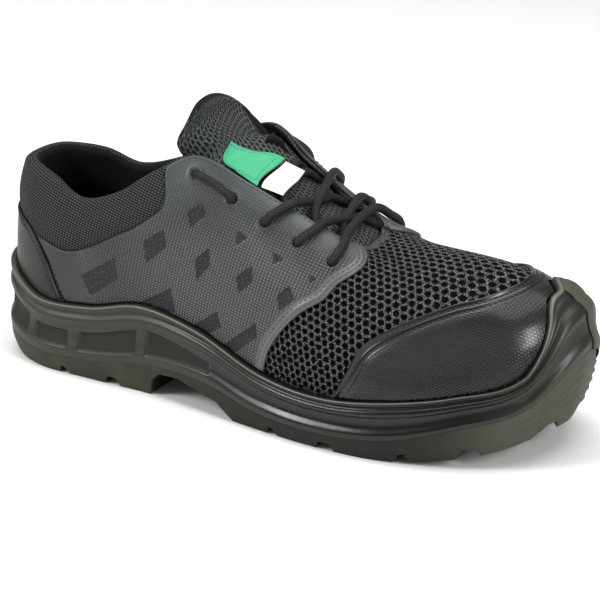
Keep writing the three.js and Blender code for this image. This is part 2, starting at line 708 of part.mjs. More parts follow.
function throatControls([u, vEdge, vBody, share, depth]) {
  const under = (w, v) => wall(w, v, -(thickness(w, v) + clearance * 4 + depth));
  const [a, b, c, d] = [under(u, vEdge), under(u, vBody), under(1 - u, vBody), under(1 - u, vEdge)];
  const top = b.clone().add(c).multiplyScalar(half).addScaledVector(crownDirection, tongueCrown * share);
  return [a, b, top, c, d];
}

function freeControls([back, up, ...edges], base) {
  const top = base.clone().add(new THREE.Vector3(-back, 0, up));
  const outerEdge = new THREE.Vector3(...edges.slice(0, 3));
  const innerEdge = new THREE.Vector3(...edges.slice(3));
  const bodyOf = (edge) => edge.clone().multiply(bodyShare).add(top);
  return [outerEdge.clone().add(top), bodyOf(outerEdge), top, bodyOf(innerEdge), innerEdge.clone().add(top)];
}

const throatSections = throatStations.map(throatControls);
const tongueSections = [
  ...freeStations.map((row) => freeControls(row, throatSections[0][2])),
  ...throatSections,
];

function tongueMid(i, t) {
  const k = THREE.MathUtils.clamp(Math.floor(i), 0, tongueSections.length - 2);
  const points = tongueSections[k].map((q, n) => q.clone().lerp(tongueSections[k + 1][n], i - k));
  return new THREE.CatmullRomCurve3(points, false, 'centripetal').getPoint(THREE.MathUtils.clamp(t, 0, 1));
}

function tonguePoint(i, t, offset) {
  const step = 0.02;
  const end = tongueSections.length - 1;
  const length = tongueMid(Math.min(i + step, end), t).sub(tongueMid(Math.max(i - step, 0), t));
  const width = tongueMid(i, Math.min(t + step, 1)).sub(tongueMid(i, Math.max(t - step, 0)));
  return tongueMid(i, t).addScaledVector(length.cross(width).normalize(), offset);
}

const tongueStations = tongueSections.map((_, i) => i);
const tongueDepth = (t) => mix(tongueThickness, tongueEdge, Math.abs(2 * t - 1) ** 3);
const tongueGeometry = plate(tongueStations, tongueSteps, 1, 0, (i, t, under) =>
  tonguePoint(i, t, -under * tongueDepth(t)));
add('tongue', tongueGeometry, 0x26272a);

// Tags stitched on the tongue: [station, share of the width] of the four corners,
// upper outer, lower outer, upper inner and lower inner
const tags = {
  green: [[4.15, 0.41], [6, 0.27], [6.33, 0.56], [6.7, 0.26]],
  white: [[6.42, 0.54], [6.79, 0.27], [6.95, 0.58], [7.15, 0.35]],
};
const tagRise = [5.2, 6.1];   // stations between which a tag climbs onto the lace under it

function tagGeometry([upperOuter, lowerOuter, upperInner, lowerInner]) {
  const lift = (i) => mix(clearance, laceDiameter + clearance * 3, smooth(...tagRise, i));
  const place = (down, across, n) =>
    mix(mix(upperOuter[n], lowerOuter[n], down), mix(upperInner[n], lowerInner[n], down), across);
  return plate([0, 0.25, half, 0.75, 1], tagSteps, 0, tagThickness, (down, across, offset) => {
    const i = place(down, across, 0);
    return tonguePoint(i, place(down, across, 1), lift(i) + offset);
  });
}

add('tongue_tag_green', tagGeometry(tags.green), 0x1f9a5e);
add('tongue_tag_white', tagGeometry(tags.white), 0xe6e6e0);

// Laces

const laceRadius = laceDiameter * half;
const laceLift = clearance * 2 + overlayWall + laceRadius;

function tube(points) {
  const path = new THREE.CatmullRomCurve3(points, false, 'centripetal');
  const round = new THREE.Shape();
  round.absarc(0, 0, laceRadius, 0, Math.PI * 2, false);
  const shape = new THREE.Shape(round.getPoints(tubeSides * half).slice(0, -1));
  const body = new THREE.ExtrudeGeometry(shape, { steps: tubeSteps, extrudePath: path, curveSegments: 1 });
  return plain(body);
}

const mirrored = (u, inner) => (inner ? 1 - u : u);

// The lace's way from an eyelet over the edge of the eyestay
function overEdge(k, inner) {
  const { edge, hole, level } = eyelets[k];
  return [0, half, 1].map((t) => wall(mirrored(mix(hole, edge, t), inner), mix(level, 1, t), laceLift));
}

// Station of the tongue that lies between the eyelets of a pair
function stationOf(k) {
  const first = freeStations.length;
  const { edge } = eyelets[k];
  const i = throatStations.findIndex(([u]) => u > edge);
  const span = throatStations[i][0] - throatStations[i - 1][0];
  return first + i - 1 + (edge - throatStations[i - 1][0]) / span;
}

const onTongue = (i, t) => tonguePoint(i, t, laceRadius + clearance * 2);

function barGeometry() {
  const k = eyelets.length - 1;
  return tube([...overEdge(k, false), onTongue(stationOf(k), half), ...overEdge(k, true).reverse()]);
}

const strandSpread = 0.17;
const strandStep = 0.4;

// Each crossing comes out from under one edge and ends at the other side's next eyelet,
// except the top one, which goes back under the other edge.
function strand(k, inner) {
  const low = mix(stationOf(k + 1), stationOf(k), strandStep);
  const high = stationOf(k);
  const sign = inner ? -1 : 1;
  const start = onTongue(low, half + sign * strandSpread);
  const middle = onTongue(mix(low, high, half), half);
  if (k === 1) return tube([start, middle, onTongue(high, half - sign * strandSpread)]);
  return tube([start, middle, ...overEdge(k, inner).reverse()]);
}

add('lace_bar', barGeometry(), 0x141415);
for (let k = 1; k < eyelets.length - 1; k++) {
  add(`lace_cross_${k}`, join(strand(k, false), strand(k, true)), 0x141415);
}

function lockGeometry(inner) {
  const [a, b] = eyelets;
  const place = (t) => wall(mirrored(mix(a.hole, b.hole, t), inner), mix(a.level, b.level, t), laceLift);
  return tube([0, half, 1].map(place));
}

add('lace_lock_outer', lockGeometry(false), 0x141415);
add('lace_lock_inner', lockGeometry(true), 0x141415);

export default group;
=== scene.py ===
import math
from functools import partial

import bmesh
import bpy
import numpy as np
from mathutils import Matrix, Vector


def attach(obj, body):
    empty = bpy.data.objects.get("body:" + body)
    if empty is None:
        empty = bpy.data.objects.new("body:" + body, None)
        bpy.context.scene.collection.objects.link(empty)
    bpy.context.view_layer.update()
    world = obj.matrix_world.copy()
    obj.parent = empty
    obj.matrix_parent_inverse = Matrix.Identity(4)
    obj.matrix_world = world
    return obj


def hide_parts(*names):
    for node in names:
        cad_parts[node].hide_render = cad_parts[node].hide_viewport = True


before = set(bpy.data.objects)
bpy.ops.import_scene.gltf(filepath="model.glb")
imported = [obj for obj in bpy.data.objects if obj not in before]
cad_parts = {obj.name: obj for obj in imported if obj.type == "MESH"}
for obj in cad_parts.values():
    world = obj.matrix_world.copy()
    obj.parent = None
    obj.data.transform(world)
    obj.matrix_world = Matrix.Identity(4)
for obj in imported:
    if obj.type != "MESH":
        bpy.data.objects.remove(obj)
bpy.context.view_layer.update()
print("frame loaded")

# The last: the sections that sole and upper are drawn through, in millimetres.
# x and topX are shares of the sole's length from the heel, outer is the little-toe side.
last = {
    "soleLength": 302, "heelWidth": 78, "waistWidth": 84, "ballWidth": 110, "toeWidth": 104,
    "heelBackRise": 48, "heelSideRise": 36, "archRise": 43.5, "ballRise": 25, "bumperRise": 71.5,
    "heelPartingRise": 10, "archPartingRise": 17, "ballPartingRise": 8.5, "toePartingRise": 50,
    "heelFloorRise": 23, "ballFloorRise": 14, "toeFloorRise": 27,
    "collarRise": 94, "ankleRise": 84, "eyestayRise": 115, "throatRise": 81, "throatWidth": 36,
    "toeSpring": 17, "toeSpringStart": 62, "heelBevel": 5, "heelBevelStart": -125,
    "clearance": 0.3, "upperWall": 2.2, "collarPad": 8, "footInset": 7,
}
columns = ("x", "outer", "inner", "soleTop", "parting", "floor", "topX", "topOuter", "topInner", "topZ",
           "innerShift", "innerLift", "shoulder", "dip", "square", "bulge", "pad")


def sectionRows(s):
    heel, waist, ball, toe = s["heelWidth"], s["waistWidth"], s["ballWidth"], s["toeWidth"]
    half = s["throatWidth"] / 2
    floor, fore = s["heelFloorRise"], s["ballFloorRise"]
    line, archLine, ballLine, toeLine = (s[k + "PartingRise"] for k in ("heel", "arch", "ball", "toe"))
    back, side, arch, low, bumper = (s[k] for k in
                                     ("heelBackRise", "heelSideRise", "archRise", "ballRise", "bumperRise"))
    collar, ankle, stay, throat = (s[k] for k in ("collarRise", "ankleRise", "eyestayRise", "throatRise"))
    return (
        (0, 0, 0, back, line * 1.45, floor, 0.028, 0, 0, collar, 0, 0, 0.2, 1, 2, 2.5, 1),
        (0.03, heel * 0.3, heel * 0.3, back * 0.93, line * 1.3,
         floor, 0.05, 16, 16, collar, 0, 1, 0.2, 1, 2, 2.5, 1),
        (0.11, heel * 0.47, heel * 0.46, side, line,
         floor, 0.115, 26, 25, collar * 0.97, 0, 2, 0.2, 1, 2, 2.5, 1),
        (0.215, heel * 0.5, heel * 0.47, side * 1.03, line * 1.1,
         floor, 0.18, 30, 29, ankle, 0, 3, 0.2, 1, 2, 2, 1),
        (0.325, waist * 0.48, waist * 0.41, arch, archLine * 0.94,
         floor * 0.95, 0.25, 30, 29, ankle * 1.08, 2, 3, 0.2, 1, 2, 2, 0.8),
        (0.434, waist * 0.54, waist * 0.44, arch * 0.9, archLine * 0.95,
         floor * 0.85, 0.315, 27, 26, stay * 0.91, 10, 3, 0.25, 1, 2, 2, 0.5),
        (0.543, ball * 0.465, ball * 0.41, low * 1.12, ballLine * 1.15,
         fore * 1.1, 0.378, half * 1.08, half * 1.05, stay, 17, 8, 0.35, 1, 2.1, 3, 0),
        (0.652, ball * 0.5, ball * 0.475, low, ballLine,
         fore, 0.467, half, half, stay * 0.92, 10, 4, 0.42, 1, 2.2, 4, 0),
        (0.762, ball * 0.487, ball * 0.5, low * 1.12, ballLine * 1.35,
         fore, 0.556, half * 0.97, half, throat * 1.17, 6, -1.5, 0.47, 1, 2.2, 4, 0),
        (0.864, toe * 0.43, toe * 0.485, low * 1.34, toeLine * 0.4,
         fore * 1.2, 0.62, half * 0.8, half * 0.9, throat * 1.06, 3, 0.5, 0.64, 1.3, 2.7, 3, 0),
        (0.95, toe * 0.26, toe * 0.35, bumper * 0.6, toeLine * 0.58,
         s["toeFloorRise"] * 0.82, 0.643, half * 0.35, half * 0.5, throat, 1, 2, 0.88, 1.8, 3.9, 2.5, 0),
        (1, -toe * 0.04, toe * 0.04, bumper, toeLine,
         s["toeFloorRise"], 0.648, -2, 2, throat * 1.01, 0, 0, 0.95, 2, 4.6, 2, 0),
    )


rows = [dict(zip(columns, row)) for row in sectionRows(last)]
loopCount = 2 * (len(rows) - 1)
small = 1e-3
millimetre = 0.001


def loopOf(pick):
    values = []
    for k in range(loopCount):
        inner = k >= len(rows)
        values.append(pick(rows[loopCount - k if inner else k], inner))
    return np.array(values, float)


length = last["soleLength"]
loops = {
    "x": loopOf(lambda r, inner: (r["x"] - 0.5) * length),
    "y": loopOf(lambda r, inner: r["inner"] if inner else -r["outer"]),
    "topX": loopOf(lambda r, inner: (r["topX"] - 0.5) * length + (r["innerShift"] if inner else 0)),
    "topY": loopOf(lambda r, inner: r["topInner"] if inner else -r["topOuter"]),
    "topZ": loopOf(lambda r, inner: r["topZ"] + (r["innerLift"] if inner else 0)),
}
for name in ("soleTop", "parting", "floor", "shoulder", "dip", "square", "bulge", "pad"):
    loops[name] = loopOf(lambda r, inner, key=name: r[key])


def mix(a, b, t):
    return a + (b - a) * t


def smooth(low, high, t):
    f = np.clip((t - low) / (high - low), 0, 1)
    return f * f * (3 - 2 * f)


def unit(vectors):
    return vectors / np.maximum(np.linalg.norm(vectors, axis=-1, keepdims=True), 1e-12)


# Smooth closed curve through a loop: u is 0 at the heel, 0.5 at the toe, 1 back at the heel
def along(key, u):
    loop = loops[key] if isinstance(key, str) else key
    t = np.mod(u, 1.0) * loopCount
    k = np.floor(t).astype(int)
    f = t - k
    a, b, c, d = (loop[(k + step) % loopCount] for step in (-1, 0, 1, 2))
    return b + 0.5 * f * (c - a + f * (2 * a - 5 * b + 4 * c - d + f * (3 * (b - c) + d - a)))


# Smooth curve through rows of (key, value), flat beyond both ends
def through(table, key):
    table = np.array(table, float)
    keys, values = table[:, 0], table[:, 1]
    key = np.clip(key, keys[0], keys[-1])
    k = np.clip(np.searchsorted(keys, key, side="right") - 1, 0, len(keys) - 2)
    low = np.maximum(np.arange(len(keys)) - 1, 0)
    high = np.minimum(np.arange(len(keys)) + 1, len(keys) - 1)
    slope = (values[high] - values[low]) / (keys[high] - keys[low])
    span = keys[k + 1] - keys[k]
    t = (key - keys[k]) / span
    a, b, m, n = values[k], values[k + 1], slope[k] * span, slope[k + 1] * span
    return a + t * (m + t * (3 * (b - a) - 2 * m - n + t * (2 * (a - b) + m + n)))


def outline(u, inset=0.0):
    tx = along("x", u + small) - along("x", u - small)
    ty = along("y", u + small) - along("y", u - small)
    size = np.maximum(np.hypot(tx, ty), 1e-12)
    return np.stack([along("x", u) - inset * ty / size, along("y", u) + inset * tx / size], -1)


# The upper's outer skin: v is 0 in the sole's cup and 1 at the collar and throat
def skin(u, v):
    u, v = np.broadcast_arrays(np.asarray(u, float), np.asarray(v, float))
    foot = outline(u, last["footInset"])
    angle = v * math.pi / 2
    power = along("square", u)
    cosine, sine = np.maximum(np.cos(angle), 0), np.maximum(np.sin(angle), 0)
    size = (cosine ** power + sine ** power) ** (1 / power)
    run, rise = 1 - cosine / size, sine / size
    swell = along("bulge", u) * np.sin(math.pi * np.clip(v, 0, 1))
    out = unit(outline(u, 0) - foot)
    floor, shoulder = along("floor", u), along("shoulder", u)
    height = shoulder * rise + (1 - shoulder) * np.maximum(run, 0) ** along("dip", u)
    return np.stack([
        mix(foot[..., 0], along("topX", u), run) + swell * out[..., 0],
        mix(foot[..., 1], along("topY", u), run) + swell * out[..., 1],
        floor + (along("topZ", u) - floor) * height,
    ], -1)


def wall(u, v, offset=0.0):
    u, v = np.broadcast_arrays(np.asarray(u, float), np.asarray(v, float))
    across = skin(u + small, v) - skin(u - small, v)
    up = skin(u, np.minimum(v + small, 1)) - skin(u, np.maximum(v - small, 0))
    return skin(u, v) + unit(np.cross(across, up)) * np.asarray(offset)[..., None]


def levelAt(u, height):
    u, height = np.broadcast_arrays(np.asarray(u, float), np.asarray(height, float))
    low, high = np.zeros(u.shape), np.ones(u.shape)
    for _ in range(22):
        middle = (low + high) / 2
        under = skin(u, middle)[..., 2] < height
        low, high = np.where(under, middle, low), np.where(under, high, middle)
    return (low + high) / 2


bumperFill = ((0.455, 0), (0.48, 0.06), (0.5, 0), (0.521, 0.13), (0.545, 0.03), (0.57, 0))


def soleTopAt(u):
    return along("soleTop", u) + last["bumperRise"] * through(bumperFill, np.mod(u, 1))


def lipLevel(u):
    return levelAt(u, soleTopAt(u))


def outerShare(u):
    u = np.mod(u, 1)
    return np.minimum(u, 1 - u)


def thickness(u, v):
    return last["upperWall"] + (last["collarPad"] - last["upperWall"]) * along("pad", u) * smooth(0.5, 0.9, v)


# Values of t from low to high that lie evenly along point(t), with finer steps near both ends
def evenly(low, high, step, point, fine=()):
    t = np.linspace(low, high, 600)
    run = np.concatenate([[0], np.cumsum(np.linalg.norm(np.diff(point(t), axis=0), axis=1))])
    count = max(int(round(run[-1] / step)), 2)
    places = np.linspace(0, run[-1], count + 1)
    ends = [f for f in fine if f < run[-1] / 2]
    places = np.unique(np.concatenate([places, ends, run[-1] - np.array(ends)]) if ends else places)
    return np.interp(places, run, t)


# Mesh making

def quads(index, wrapU=False, wrapV=False):
    if wrapU:
        index = np.vstack([index, index[:1]])
    if wrapV:
        index = np.hstack([index, index[:, :1]])
    corners = (index[:-1, :-1], index[1:, :-1], index[1:, 1:], index[:-1, 1:])
    return np.stack(corners, -1).reshape(-1, 4)


# A mesh from points in millimetres. faces is an array of quads, extra a list of other faces,
# slots gives each face's material, floats holds a value for each point.
def addPiece(name, points, faces, materials, extra=(), slots=None, floats=None, uv=None, weld=False):
    mesh = bpy.data.meshes.new(name)
    points = np.asarray(points, float).reshape(-1, 3) * millimetre
    mesh.vertices.add(len(points))
    mesh.vertices.foreach_set("co", points.ravel())
    flat = [np.asarray(faces).ravel()] + [np.asarray(face) for face in extra]
    sizes = np.concatenate([np.full(len(faces), 4), [len(face) for face in extra]]).astype(int)
    corners = np.concatenate(flat).astype(int)
    mesh.loops.add(len(corners))
    mesh.loops.foreach_set("vertex_index", corners)
    mesh.polygons.add(len(sizes))
    mesh.polygons.foreach_set("loop_start", np.concatenate([[0], np.cumsum(sizes)[:-1]]))
    if slots is not None:
        padded = np.concatenate([np.asarray(slots).ravel(), np.zeros(len(extra))]).astype(int)
        mesh.polygons.foreach_set("material_index", padded)
    mesh.update(calc_edges=True)
    if uv is not None:
        layer = mesh.uv_layers.new(name="fabric")
        layer.data.foreach_set("uv", np.asarray(uv, float).reshape(-1, 2)[corners].ravel())
    for key, values in (floats or {}).items():
        attribute = mesh.attributes.new(key, "FLOAT", "POINT")
        attribute.data.foreach_set("value", np.asarray(values, float).ravel())
    if weld:
        shape = bmesh.new()
        shape.from_mesh(mesh)
        bmesh.ops.remove_doubles(shape, verts=shape.verts, dist=2e-6)
        bmesh.ops.dissolve_degenerate(shape, dist=1e-6, edges=shape.edges)
        shape.to_mesh(mesh)
        shape.free()
    mesh.validate()
    mesh.polygons.foreach_set("use_smooth", [True] * len(mesh.polygons))
    for material in materials:
        mesh.materials.append(material)
    piece = bpy.data.objects.new(name, mesh)
    bpy.context.scene.collection.objects.link(piece)
    return piece


def stand(piece, slot, *nodes):
    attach(piece, "root")
    if nodes:
        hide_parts(*nodes)
    print("made", piece.name, len(piece.data.polygons), "faces")


# A closed thin body: the fine grid top[i, j] and a coarser back of a few rows under it.
# Its edges are the first and last rows of top, and those of back aren't used.
def shell(name, top, back, materials, uv=None, floats=None, slots=None):
    n, m = top.shape[:2]
    b = back.shape[1]
    index = np.arange(n * m).reshape(n, m)
    under = np.empty((n, b), int)
    under[:, 0], under[:, -1] = index[:, 0], index[:, -1]
    under[:, 1:-1] = n * m + np.arange(n * (b - 2)).reshape(n, b - 2)
    points = np.concatenate([top.reshape(-1, 3), back[:, 1:-1].reshape(-1, 3)])
    faces = np.concatenate([quads(index), quads(under)[:, ::-1]])
    caps = [list(under[0]) + list(index[0][::-1][1:-1]), list(under[-1][::-1]) + list(index[-1][1:-1])]
    spare = n * (b - 2)
    if uv is not None:
        uv = np.concatenate([uv.reshape(-1, 2), np.zeros((spare, 2))])
    floats = {key: np.concatenate([np.ravel(value), np.zeros(spare)])
              for key, value in (floats or {}).items()}
    if slots is not None:
        slots = np.concatenate([np.ravel(slots), np.zeros(len(faces) - np.size(slots))])
    return addPiece(name, points, faces, materials, caps, slots, floats, uv, weld=True)


# The upper's skin laid flat, so that woven and embossed patterns keep their real pitch.
# Returns places in millimetres for a grid of u and v.
def layFlat(us, vs, turn):
    u, v = np.meshgrid(us, vs, indexing="ij")
    points = skin(u, v)
    index = np.arange(u.size).reshape(u.shape)
    mesh = bpy.data.meshes.new("flat")
    mesh.from_pydata(points.reshape(-1, 3).tolist(), [], quads(index).tolist())
    mesh.uv_layers.new(name="flat")
    sheet = bpy.data.objects.new("flat", mesh)
    bpy.context.scene.collection.objects.link(sheet)
    bpy.context.view_layer.objects.active = sheet
    sheet.select_set(True)
    bpy.ops.object.mode_set(mode="EDIT")
    bpy.ops.mesh.select_all(action="SELECT")
    bpy.ops.uv.unwrap(method="ANGLE_BASED", margin=0)
    bpy.ops.object.mode_set(mode="OBJECT")
    corner = np.empty(len(mesh.loops) * 2)
    mesh.uv_layers[0].data.foreach_get("uv", corner)
    vertex = np.empty(len(mesh.loops), int)
    mesh.loops.foreach_get("vertex_index", vertex)
    flat = np.zeros((u.size, 2))
    flat[vertex] = corner.reshape(-1, 2)
    flat = flat.reshape(u.shape + (2,))
    bpy.data.objects.remove(sheet)
    bpy.data.meshes.remove(mesh)
    i, j = (np.array(u.shape) * (0.33, 0.55)).astype(int)
    real = np.linalg.norm(points[i + 4, j] - points[i, j])
    step = flat[i + 4, j] - flat[i, j]
    flat = flat * real / np.linalg.norm(step)
    angle = math.radians(turn) - math.atan2(step[1], step[0])
    spin = np.array(((math.cos(angle), math.sin(angle)), (-math.sin(angle), math.cos(angle))))
    return flat @ spin


def lookUp(table, us, vs, u, v):
    i = np.clip(np.searchsorted(us, u, side="right") - 1, 0, len(us) - 2)
    j = np.clip(np.searchsorted(vs, v, side="right") - 1, 0, len(vs) - 2)
    a = ((u - us[i]) / (us[i + 1] - us[i]))[..., None]
    b = ((v - vs[j]) / (vs[j + 1] - vs[j]))[..., None]
    return mix(mix(table[i, j], table[i + 1, j], a), mix(table[i, j + 1], table[i + 1, j + 1], a), b)


flatU, flatV = np.linspace(0, 1, 181), np.linspace(0.08, 1, 41)
flatSkin = layFlat(flatU, flatV, 0)


def fabric(u, v):
    return lookUp(flatSkin, flatU, flatV, np.mod(u, 1), np.clip(v, flatV[0], 1))


# Distance in millimetres from each point to a line of points, in any number of dimensions
def distanceTo(points, line, closed=False):
    flat = points.reshape(-1, points.shape[-1])
    best = np.full(len(flat), 1e9)
    ends = np.roll(line, -1, axis=0) if closed else line[1:]
    for a, b in zip(line, ends):
        run = b - a
        t = np.clip((flat - a) @ run / max(run @ run, 1e-12), 0, 1)
        best = np.minimum(best, np.linalg.norm(flat - a - t[:, None] * run, axis=1))
    return best.reshape(points.shape[:-1])


def insideOf(points, corners):
    x, y = points[..., 0], points[..., 1]
    inside = np.zeros(x.shape, bool)
    for (x0, y0), (x1, y1) in zip(corners, np.roll(corners, -1, axis=0)):
        crosses = (y0 > y) != (y1 > y)
        at = x0 + (y - y0) * (x1 - x0) / np.where(y1 == y0, 1e-12, y1 - y0)
        inside ^= crosses & (x < at)
    return inside


# Materials

def hexColor(code):
    channels = [int(code[i:i + 2], 16) / 255 for i in (1, 3, 5)]
    return tuple(c / 12.92 if c <= 0.04045 else ((c + 0.055) / 1.055) ** 2.4 for c in channels) + (1.0,)


# Adds a node. An input is a value, a socket, or a node whose first active output is linked.
def addNode(tree, kind, inputs=None, **settings):
    node = tree.nodes.new(kind)
    for key, value in settings.items():
        setattr(node, key, value)
    for key, value in (inputs or {}).items():
        if isinstance(value, bpy.types.Node):
            value = next(socket for socket in value.outputs if socket.enabled)
        if isinstance(value, bpy.types.NodeSocket):
            tree.links.new(value, node.inputs[key])
        else:
            node.inputs[key].default_value = value
    return node


def newMaterial(name):
    material = bpy.data.materials.new(name)
    material.use_nodes = True
    material.node_tree.nodes.clear()
    return material, partial(addNode, material.node_tree)


# The piece's own flat map in millimetres, turned, with one repeat every pitch
def patternAxes(add, pitchX, pitchY, turn=0.0):
    placed = add("ShaderNodeMapping", {"Vector": add("ShaderNodeUVMap", uv_map="fabric"),
                                       "Rotation": (0, 0, -math.radians(turn)), "Scale": (pitchX, pitchY, 1)},
                 vector_type="TEXTURE")
    axes = add("ShaderNodeSeparateXYZ", {0: placed})
    return placed, axes.outputs["X"], axes.outputs["Y"]


# Colour, roughness and relief of a surface. Constants are the shader's own inputs.
def dress(add, color, roughness, height=None, distance=0.0003, constants=None):
    inputs = {"Base Color": color, "Roughness": roughness, "IOR": 1.5}
    inputs.update(constants or {})
    if height is not None:
        inputs["Normal"] = add("ShaderNodeBump", {"Height": height, "Distance": distance})
    add("ShaderNodeOutputMaterial", {"Surface": add("ShaderNodeBsdfPrincipled", inputs)})


# Moulded polyurethane foam: a closed skin that is satin olive grey at the heel and glossy,
# nearly black at the forefoot, with a matte stipple in its sunk panels and a painted highlight along the lip
# bead.
def makePolyurethane():
    material, add = newMaterial("mouldedPolyurethane")
    place = add("ShaderNodeTexCoord").outputs["Object"]
    x = add("ShaderNodeSeparateXYZ", {0: place}).outputs["X"]
    cloud = add("ShaderNodeTexNoise", {"Vector": place, "Scale": 28, "Detail": 3})
    forward = add("ShaderNodeMapRange", {0: x, 1: -0.1, 2: 0.05}, interpolation_type="SMOOTHSTEP")
    toe = add("ShaderNodeMapRange", {0: x, 1: 0.105, 2: 0.15}, interpolation_type="SMOOTHSTEP")
    stipple = add("ShaderNodeAttribute", attribute_name="stipple").outputs["Fac"]
    lip = add("ShaderNodeAttribute", attribute_name="lip").outputs["Fac"]
    body = add("ShaderNodeMix", {0: forward, 6: hexColor("#27271e"), 7: hexColor("#090a08")},
               data_type="RGBA")
    body = add("ShaderNodeMix", {0: toe, 6: body, 7: hexColor("#22231d")}, data_type="RGBA")
    sunk = add("ShaderNodeMath", {0: stipple, 1: 0.45}, operation="MULTIPLY")
    body = add("ShaderNodeMix", {0: sunk, 6: body, 7: hexColor("#161713")}, data_type="RGBA")
    # painted highlight: a pale line painted along the lip bead
    lipHighlight = add("ShaderNodeMath", {0: lip, 1: 0.5}, operation="MULTIPLY")
    body = add("ShaderNodeMix", {0: lipHighlight, 6: body, 7: hexColor("#8b8c81")}, data_type="RGBA")
    grain = add("ShaderNodeTexNoise", {"Vector": place, "Scale": 1300, "Detail": 3})
    share = add("ShaderNodeMath", {0: stipple, 1: 1.5, 2: 0.08}, operation="MULTIPLY_ADD")
    height = add("ShaderNodeMath", {0: grain, 1: share}, operation="MULTIPLY")
    rough = add("ShaderNodeMapRange", {0: forward, 3: 0.46, 4: 0.2})
    rough = add("ShaderNodeMath", {0: toe, 1: 0.16, 2: rough}, operation="MULTIPLY_ADD")
    rough = add("ShaderNodeMath", {0: stipple, 1: 0.25, 2: rough}, operation="MULTIPLY_ADD")
    spread = add("ShaderNodeMapRange", {0: cloud, 1: 0.3, 2: 0.7, 3: -0.07, 4: 0.1})
    rough = add("ShaderNodeMath", {0: rough, 1: spread}, operation="ADD")
    dress(add, body, rough, height, 0.0005, {"Specular IOR Level": 0.4})
    return material


# Nitrile rubber tread: matte olive grey, darker under the ball, paler at the toe
def makeRubber():
    material, add = newMaterial("nitrileRubber")
    place = add("ShaderNodeTexCoord").outputs["Object"]
    x = add("ShaderNodeSeparateXYZ", {0: place}).outputs["X"]
    cloud = add("ShaderNodeTexNoise", {"Vector": place, "Scale": 60, "Detail": 4, "Roughness": 0.6})
    patch = add("ShaderNodeMapRange", {0: cloud, 1: 0.35, 2: 0.7}, interpolation_type="SMOOTHSTEP")
    forward = add("ShaderNodeMapRange", {0: x, 1: -0.07, 2: 0.02}, interpolation_type="SMOOTHSTEP")
    toe = add("ShaderNodeMapRange", {0: x, 1: 0.09, 2: 0.14}, interpolation_type="SMOOTHSTEP")
    heel = add("ShaderNodeMix", {0: patch, 6: hexColor("#2a2a1f"), 7: hexColor("#3e3e30")}, data_type="RGBA")
    ball = add("ShaderNodeMix", {0: patch, 6: hexColor("#11110e"), 7: hexColor("#22221b")}, data_type="RGBA")
    body = add("ShaderNodeMix", {0: forward, 6: heel, 7: ball}, data_type="RGBA")
    body = add("ShaderNodeMix", {0: toe, 6: body, 7: hexColor("#44453a")}, data_type="RGBA")
    # painted shade: the bottoms of the tread's cuts are painted darker
    deep = add("ShaderNodeAttribute", attribute_name="deep").outputs["Fac"]
    body = add("ShaderNodeMix", {0: deep, 6: body, 7: hexColor("#11110f")}, data_type="RGBA")
    grain = add("ShaderNodeTexNoise", {"Vector": place, "Scale": 1500, "Detail": 3})
    rough = add("ShaderNodeMapRange", {0: cloud, 1: 0.3, 2: 0.7, 3: 0.5, 4: 0.75})
    dress(add, body, rough, grain, 0.00018, {"Specular IOR Level": 0.25})
    return material


# Warp-knitted air mesh: holes painted near black, partly their dark backing and partly painted shade, between
# looped yarns with painted shade where the loops dip and painted highlights in specks where they catch the
# light
def makeAirMesh():
    material, add = newMaterial("airMesh")
    hole = add("ShaderNodeAttribute", attribute_name="hole").outputs["Fac"]
    flat = patternAxes(add, 0.55, 0.55, 45)[0]
    loop = add("ShaderNodeTexVoronoi", {"Vector": flat, "Scale": 1, "Randomness": 0.8},
               voronoi_dimensions="2D")
    speck = add("ShaderNodeTexNoise", {"Vector": flat, "Scale": 0.9, "Detail": 3, "Roughness": 0.75})
    bright = add("ShaderNodeMapRange", {0: speck, 1: 0.42, 2: 0.66}, interpolation_type="SMOOTHSTEP")
    yarn = add("ShaderNodeMix", {0: bright, 6: hexColor("#1a1c1d"), 7: hexColor("#9a9fa2")}, data_type="RGBA")
    # painted shade where the loops dip between the yarns
    loopShade = add("ShaderNodeMapRange", {0: loop, 1: 0.3, 2: 0.65}, interpolation_type="SMOOTHSTEP")
    yarn = add("ShaderNodeMix", {0: loopShade, 6: yarn, 7: hexColor("#070808")}, data_type="RGBA")
    # the holes: their dark backing deepened with painted shade
    gape = add("ShaderNodeMapRange", {0: hole, 1: 0.05, 2: 0.4}, interpolation_type="SMOOTHSTEP")
    color = add("ShaderNodeMix", {0: gape, 6: yarn, 7: hexColor("#020203")}, data_type="RGBA")
    height = add("ShaderNodeMath", {0: loop, 1: -0.9, 2: speck}, operation="MULTIPLY_ADD")
    gloss = add("ShaderNodeMapRange", {0: gape, 3: 0.6, 4: 1})
    dress(add, color, gloss, height, 0.0004, {"Specular IOR Level": 0.15})
    return material


